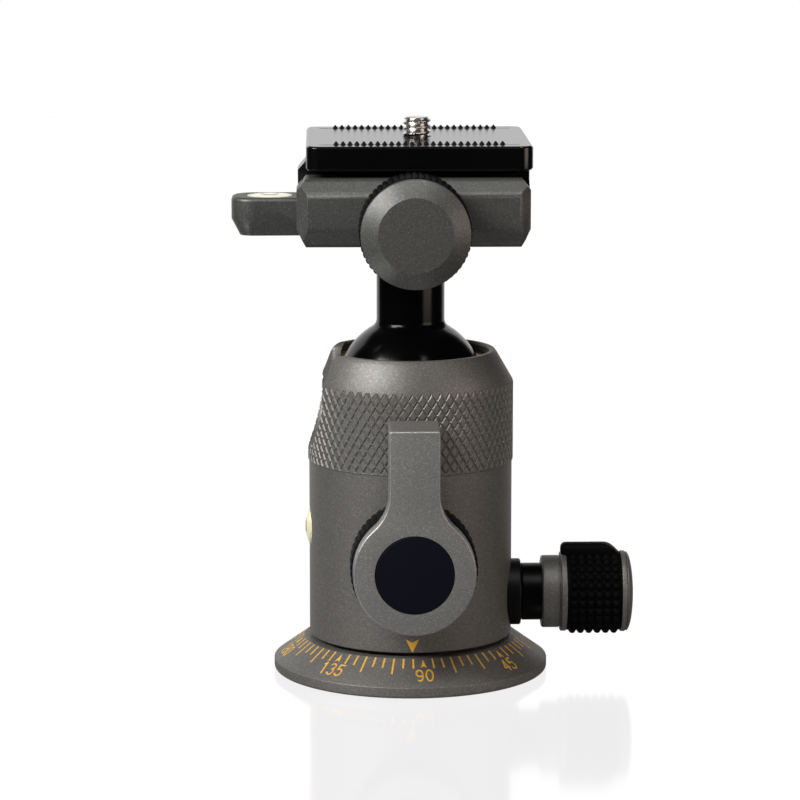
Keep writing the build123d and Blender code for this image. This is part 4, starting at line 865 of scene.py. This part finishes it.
def softened(node_name, name, material, width=0.0, limit=30, steps=3, run=0.0, flat=0.0):
    """A copy of a CAD piece with its long sharp edges rounded, and its large faces kept flat.

    Only edges that run far enough along X are rounded. Width, run and the area flat are in millimetres."""
    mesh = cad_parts[node_name].data.copy()
    work = bmesh.new()
    work.from_mesh(mesh)
    bmesh.ops.remove_doubles(work, verts=work.verts, dist=2e-6)
    bmesh.ops.dissolve_limit(work, angle_limit=radians(1), verts=work.verts, edges=work.edges)
    weight = work.edges.layers.float.new("bevel_weight_edge")
    shortest = 1.8 * mm
    for edge in work.edges:
        sharp = len(edge.link_faces) == 2 and edge.calc_face_angle(0) > radians(limit)
        along_x = abs(edge.verts[0].co.x - edge.verts[1].co.x)
        if sharp and edge.calc_length() > shortest and along_x >= run * mm:
            edge[weight] = 1.0
    work.to_mesh(mesh)
    work.free()
    mesh.materials.clear()
    mesh.materials.append(material)
    obj = placed(name, mesh)
    if width:
        change = obj.modifiers.new("edges", "BEVEL")
        change.width, change.segments = width * mm, steps
        change.limit_method, change.use_clamp_overlap = "WEIGHT", False
    smooth(plain(obj))
    for face in obj.data.polygons:
        if flat and face.area > flat * mm * mm:
            for k in face.loop_indices:
                obj.data.edges[obj.data.loops[k].edge_index].use_edge_sharp = True
    even = obj.modifiers.new("even_shading", "WEIGHTED_NORMAL")
    even.keep_sharp = True
    return plain(obj)


clamp_paint = finish(
    "clamp_paint", (0.1, 0.101, 0.0955), 0.46, metal=0.58, grain=0.22, size=0.19, bump=0.014, sparkle=0.9
)
jaw_black = finish("jaw_black", (0.011, 0.011, 0.0115), 0.34, coat=0.4, grain=0.15, bump=0.006, spread=0.04)
clamp_body = softened("clamp_body", "clamp_body_look", clamp_paint, 0.3)
add_to(clamp_body, "clamp", "painted_grey", "clamp_body")
front_jaw = softened("front_jaw", "front_jaw_look", clamp_paint, 0.9, 24, 5, run=10)
add_to(front_jaw, "clamp_jaw", "painted_grey", "front_jaw")
rear_jaw = softened("rear_jaw", "rear_jaw_look", jaw_black, 0.5, 24, 4, run=10)
add_to(rear_jaw, "clamp", "jaw_black", "rear_jaw")
jaw_screws = softened("rear_jaw_screws", "rear_jaw_screws_look", steel, 0.2, 40)
add_to(jaw_screws, "clamp", "steel", "rear_jaw_screws")
dress(steel, "clamp_bolt", "guide_pins", "knob_clip")

# Level on the nose, the same kind as the body's, a little larger.
level(
    "nose_level", "Z", (-31.9, 0, 0), cup_radius=5.2, cup_low=105.7, cup_top=109.72, vial_radius=4.3,
    vial_rim=109.7, proud=0.35, way=1, body="clamp", nodes=("level_cup", "level_vial"),
)

# ----------------------------------------
# Clamp knob: a steel screw with a collar and washer, a turned and painted cap with a broad bevel,
# and a rubber ring with fifty-four ribs like the lever's pushed over the cap.
knob_axis = ("Y", (0, 0, 105.8))
screw_hole, knob_back, grip_front, face_front = 3.05, -31.4, -42.5, -46.5
knob_cap = turning(
    "clamp_knob_cap_look",
    [
        (screw_hole, knob_back, 0.1), (9.4, knob_back, 0.2), (9.4, grip_front, 0), (11.9, grip_front, 0.2),
        (11.9, -44.5, 0.22), (8.15, face_front, 0.22), (0, face_front, 0), (0, -43.2, 0),
        (screw_hole, -43.2, 0),
    ],
    clamp_paint, *knob_axis, 200, 4,
)
add_to(knob_cap, "clamp_knob", "painted_grey", "clamp_knob_cap")
ribbed_ring(
    "clamp_knob_grip_look", "clamp_knob_ribs",
    [(9.45, grip_front, 0), (11.82, grip_front, 0.3), (11.82, knob_back, 0.4), (9.45, knob_back, 0)],
    rib(11.78, 31.55, 42.4, 1.34, 0.47), knob_axis, "clamp_knob", "clamp_knob_grip",
)
dress(steel, "clamp_screw", "knob_washer")

# ----------------------------------------
# Quick release plate: aluminium, anodised black, with a dovetail foot. Two rubber strips with a
# row of small studs each are let into its top; two stop screws stand out below.
plate_black = finish("plate_black", (0.0012, 0.0012, 0.0013), 0.19, shine=0.5)
plate = softened("quick_release_plate", "quick_release_plate_look", plate_black, flat=15)
add_to(plate, "plate", "anodised_black", "quick_release_plate")
dress(steel, "stop_screws", "screw_clip")
left, right, strip_row, strip_half, strip_top, screw_x = -20.6, 23.4, 20.4, 0.85, 123.02, 1.4
strip_shapes = []
for row in (-strip_row, strip_row):
    near, away = row - strip_half, row + strip_half
    corners = [(left, near, 0.4), (right, near, 0.4), (right, away, 0.4), (left, away, 0.4)]
    strip_shapes.append(bar(rounded(corners, 4), 122.4, strip_top, 0, 0.03, 2, "Z"))
strips = solid("grip_strips_look", *join(strip_shapes), plate_black)
add_to(strips, "plate", "rubber", "grip_strips")

# The tree: two rows of studs, side by side.
stud_sizes = dict(count=25, pitch=1.53 * mm, row_width=2 * strip_row * mm)
tree, given = new_tree("two_rows", **stud_sizes)
number = node(tree, "GeometryNodeInputIndex").outputs[0]
side = sums("SUBTRACT", sums("FLOOR", sums("DIVIDE", number, given["Count"])), 0.5)
in_row = sums("MODULO", number, given["Count"])
middle = sums("MULTIPLY", sums("SUBTRACT", given["Count"], 1), 0.5)
across = sums("MULTIPLY", sums("SUBTRACT", in_row, middle), given["Pitch"])
places = xyz(X=across, Y=sums("MULTIPLY", side, given["Row width"]))
both = copies(given["Piece"], sums("MULTIPLY", given["Count"], 2), places)
hand_out(both, given["Finish"])

stud_sides, stud_tip = 12, 0.75
stud_sections = [(0.66, -0.1), (0.66, 0.0), (0.36, 0.4), (0.12, 0.72)]
verts = [
    (wide * cos(2 * pi * k / stud_sides), wide * sin(2 * pi * k / stud_sides), up)
    for wide, up in stud_sections
    for k in range(stud_sides)
]
last = (len(stud_sections) - 1) * stud_sides
faces = skin(len(stud_sections), stud_sides)[:-1]
faces += [(last + k, last + (k + 1) % stud_sides, len(verts)) for k in range(stud_sides)]
studs = solid("strip_studs", verts + [(0, 0, stud_tip)], faces, rubber, 40)
grown(studs, tree, rubber, 40, **stud_sizes)
studs.data.transform(Matrix.Translation(Vector((screw_x, 0, strip_top)) * mm))
add_to(studs, "plate", "rubber")

# ----------------------------------------
# Camera screw: 1/4"-20, polished steel. Its thread is cut as a helix with sharp crests; below the
# plate's top the shank is thinner, and its slotted head turns under the foot.
bright_steel = finish("bright_steel", (0.82, 0.8, 0.77), 0.27, metal=1.0, grain=0.05, size=0.5, spread=0.04)
thread_pitch, crest, root, thread_low, thread_high = 1.27, 3.175, 2.5, 123.2, 127.4
sides, rows = 96, 100
verts = []
for j in range(rows + 1):
    z = thread_low + (thread_high - thread_low) * j / rows
    end_chamfer = crest - max(0, 0.55 - (thread_high - z))
    start_chamfer = crest - 1.5 * max(0, 0.2 - (z - thread_low))
    for k in range(sides):
        angle = 2 * pi * k / sides
        wave = abs(((z - thread_low) / thread_pitch - k / sides + 0.5) % 1 - 0.5) * 2
        flank = root + (crest - root) * min(1, max(0, (wave - 0.06) / 0.84))
        radius = min(flank, end_chamfer, start_chamfer)
        verts.append((screw_x + radius * sin(angle), -radius * cos(angle), z))
thread = solid("camera_screw_thread", verts, skin(rows + 1, sides), bright_steel, 40)
add_to(thread, "camera_screw", "bright_steel")
head_low, head_high, head_radius, shank_radius, shank_top = 111.6, 114.35, 7.0, 2.45, 123.6
shank = turning(
    "camera_screw_look",
    [
        (0, head_low, 0), (head_radius, head_low, 0.4), (head_radius, head_high, 0.2),
        (shank_radius, head_high, 0), (shank_radius, shank_top, 0), (0, shank_top, 0),
    ],
    bright_steel, "Z", (screw_x, 0, 0), 96,
)
slot_outline = [(-8, -0.7), (8, -0.7), (8, 0.7), (-8, 0.7)]
shaped(shank, bar(slot_outline, 111.0, 112.8, axis="Z", centre=(screw_x, 0, 0)))
add_to(shank, "camera_screw", "bright_steel", "camera_screw")

# ----------------------------------------
# Stage: a glossy white table in front of a white sweep, in a room that is dark behind the camera.
# One soft key from the upper left, a weak light overhead and a warm one low on the right.


def studio_white(name, seen, mirrored, thrown, colour=(1, 1, 1), fade=None, gloss=0.0):
    """White that glows for the camera, for reflections and for other light by separate amounts.

    Its mirrored part can fade out to the front and the sides, and it can be glossy itself."""
    material = bpy.data.materials.new(name)
    material.use_nodes = True
    tree = material.node_tree
    tree.nodes.clear()
    ray = node(tree, "ShaderNodeLightPath").outputs
    share = mirrored - thrown
    if fade:
        faded, sideways = 0.02, -0.9
        place = node(tree, "ShaderNodeTexCoord").outputs["Object"]
        apart = node(tree, "ShaderNodeSeparateXYZ", {"Vector": place}).outputs
        behind = sums("MULTIPLY_ADD", sums("ABSOLUTE", apart["X"]), sideways, apart["Y"])
        share = ranged(behind, fade, (faded - thrown, share), interpolation_type="SMOOTHSTEP")
    amount = sums("ADD", sums("MULTIPLY", ray["Is Camera Ray"], seen - thrown), thrown)
    amount = sums("ADD", sums("MULTIPLY", ray["Is Glossy Ray"], share), amount)
    surface = node(tree, "ShaderNodeEmission", {"Color": (*colour, 1), "Strength": amount}).outputs[0]
    if gloss:
        mirror = node(tree, "ShaderNodeBsdfGlossy", {"Roughness": 0.1, "Color": (1, 1, 1, 1)}).outputs[0]
        surface = node(tree, "ShaderNodeMixShader", {"Fac": gloss, 1: surface, 2: mirror}).outputs[0]
    node(tree, "ShaderNodeOutputMaterial", {"Surface": surface})
    return material


floor_white = studio_white(
    "floor_white", seen=1.02, mirrored=0.9, thrown=0.4,
    colour=(1.0, 0.992, 0.995), fade=(-100 * mm, 150 * mm), gloss=0.16,
)
far = 9000
floor_corners = [(-far, -far, 0), (far, -far, 0), (far, far, 0), (-far, far, 0)]
floor = solid("floor", floor_corners, [(0, 1, 2, 3)], floor_white)
floor.location.z = -0.05 * mm

sweep_radius, sweep_height, sweep_left, sweep_right, sweep_steps = 1500, 1000, 48, 30, 40
verts = []
for k in range(sweep_steps + 1):
    angle = radians(-sweep_left + (sweep_left + sweep_right) * k / sweep_steps)
    verts += [(sweep_radius * sin(angle), sweep_radius * cos(angle), z) for z in (0, sweep_height)]
faces = [(2 * k, 2 * k + 2, 2 * k + 3, 2 * k + 1) for k in range(sweep_steps)]
sweep = solid("sweep", verts, faces, studio_white("sweep_white", seen=1.0, mirrored=1.0, thrown=0.1))

world = bpy.data.worlds.new("studio")
bpy.context.scene.world = world
world.use_nodes = True
tree = world.node_tree
tree.nodes.clear()
seen = node(tree, "ShaderNodeBackground", {"Color": (1, 1, 1, 1)}).outputs[0]
room = node(tree, "ShaderNodeBackground", {"Color": (0.95, 0.97, 1.0, 1), "Strength": 0.02}).outputs[0]
for_camera = node(tree, "ShaderNodeLightPath").outputs["Is Camera Ray"]
mixed = node(tree, "ShaderNodeMixShader", {"Fac": for_camera, 1: room, 2: seen}).outputs[0]
node(tree, "ShaderNodeOutputWorld", {"Surface": mixed})


def softbox(name, place, aim, wide, tall, power, colour=(1, 1, 1)):
    """A rectangular studio light that faces a point, both in millimetres."""
    light = bpy.data.lights.new(name, "AREA")
    light.shape, light.size, light.size_y = "RECTANGLE", wide * mm, tall * mm
    light.energy, light.color = power, colour
    lamp = placed(name, light)
    lamp.location = Vector(place) * mm
    lamp.rotation_mode = "QUATERNION"
    lamp.rotation_quaternion = (Vector(aim) - Vector(place)).to_track_quat("-Z", "Y")
    lamp.visible_camera = False
    return lamp


softbox("key", (-640, -480, 640), (0, 0, 70), 560, 400, 11.0, (1.0, 0.985, 0.975))
softbox("front_top", (100, -400, 850), (0, 0, 70), 400, 400, 2.1)
warm_right = softbox("warm_right", (700, -450, 160), (0, 0, 60), 450, 450, 1.7, (1.0, 0.84, 0.74))

# The lamp on the right stands low, so it leaves the table out and isn't mirrored there.
not_the_table = bpy.data.collections.new("not_the_table")
not_the_table.objects.link(floor)
not_the_table.collection_objects[0].light_linking.link_state = "EXCLUDE"
warm_right.light_linking.receiver_collection = not_the_table

# Camera: a long lens in front of the head and a little above it.
film_width, focal_pixels, image_pixels = 36.0, 3430, 800
camera = placed("camera", bpy.data.cameras.new("camera"))
bpy.context.scene.camera = camera
camera.data.sensor_width, camera.data.lens = film_width, focal_pixels * film_width / image_pixels
camera.location = Vector((-20.3, -774.9, 193.8)) * mm
yaw, pitch = radians(1.323), radians(9.618)
forward = Vector((sin(yaw) * cos(pitch), cos(yaw) * cos(pitch), -sin(pitch)))
camera.rotation_mode = "QUATERNION"
camera.rotation_quaternion = forward.to_track_quat("-Z", "Y")
camera.data.clip_start, camera.data.clip_end = 0.05, 50

bpy.context.scene.view_settings.view_transform = "Standard"
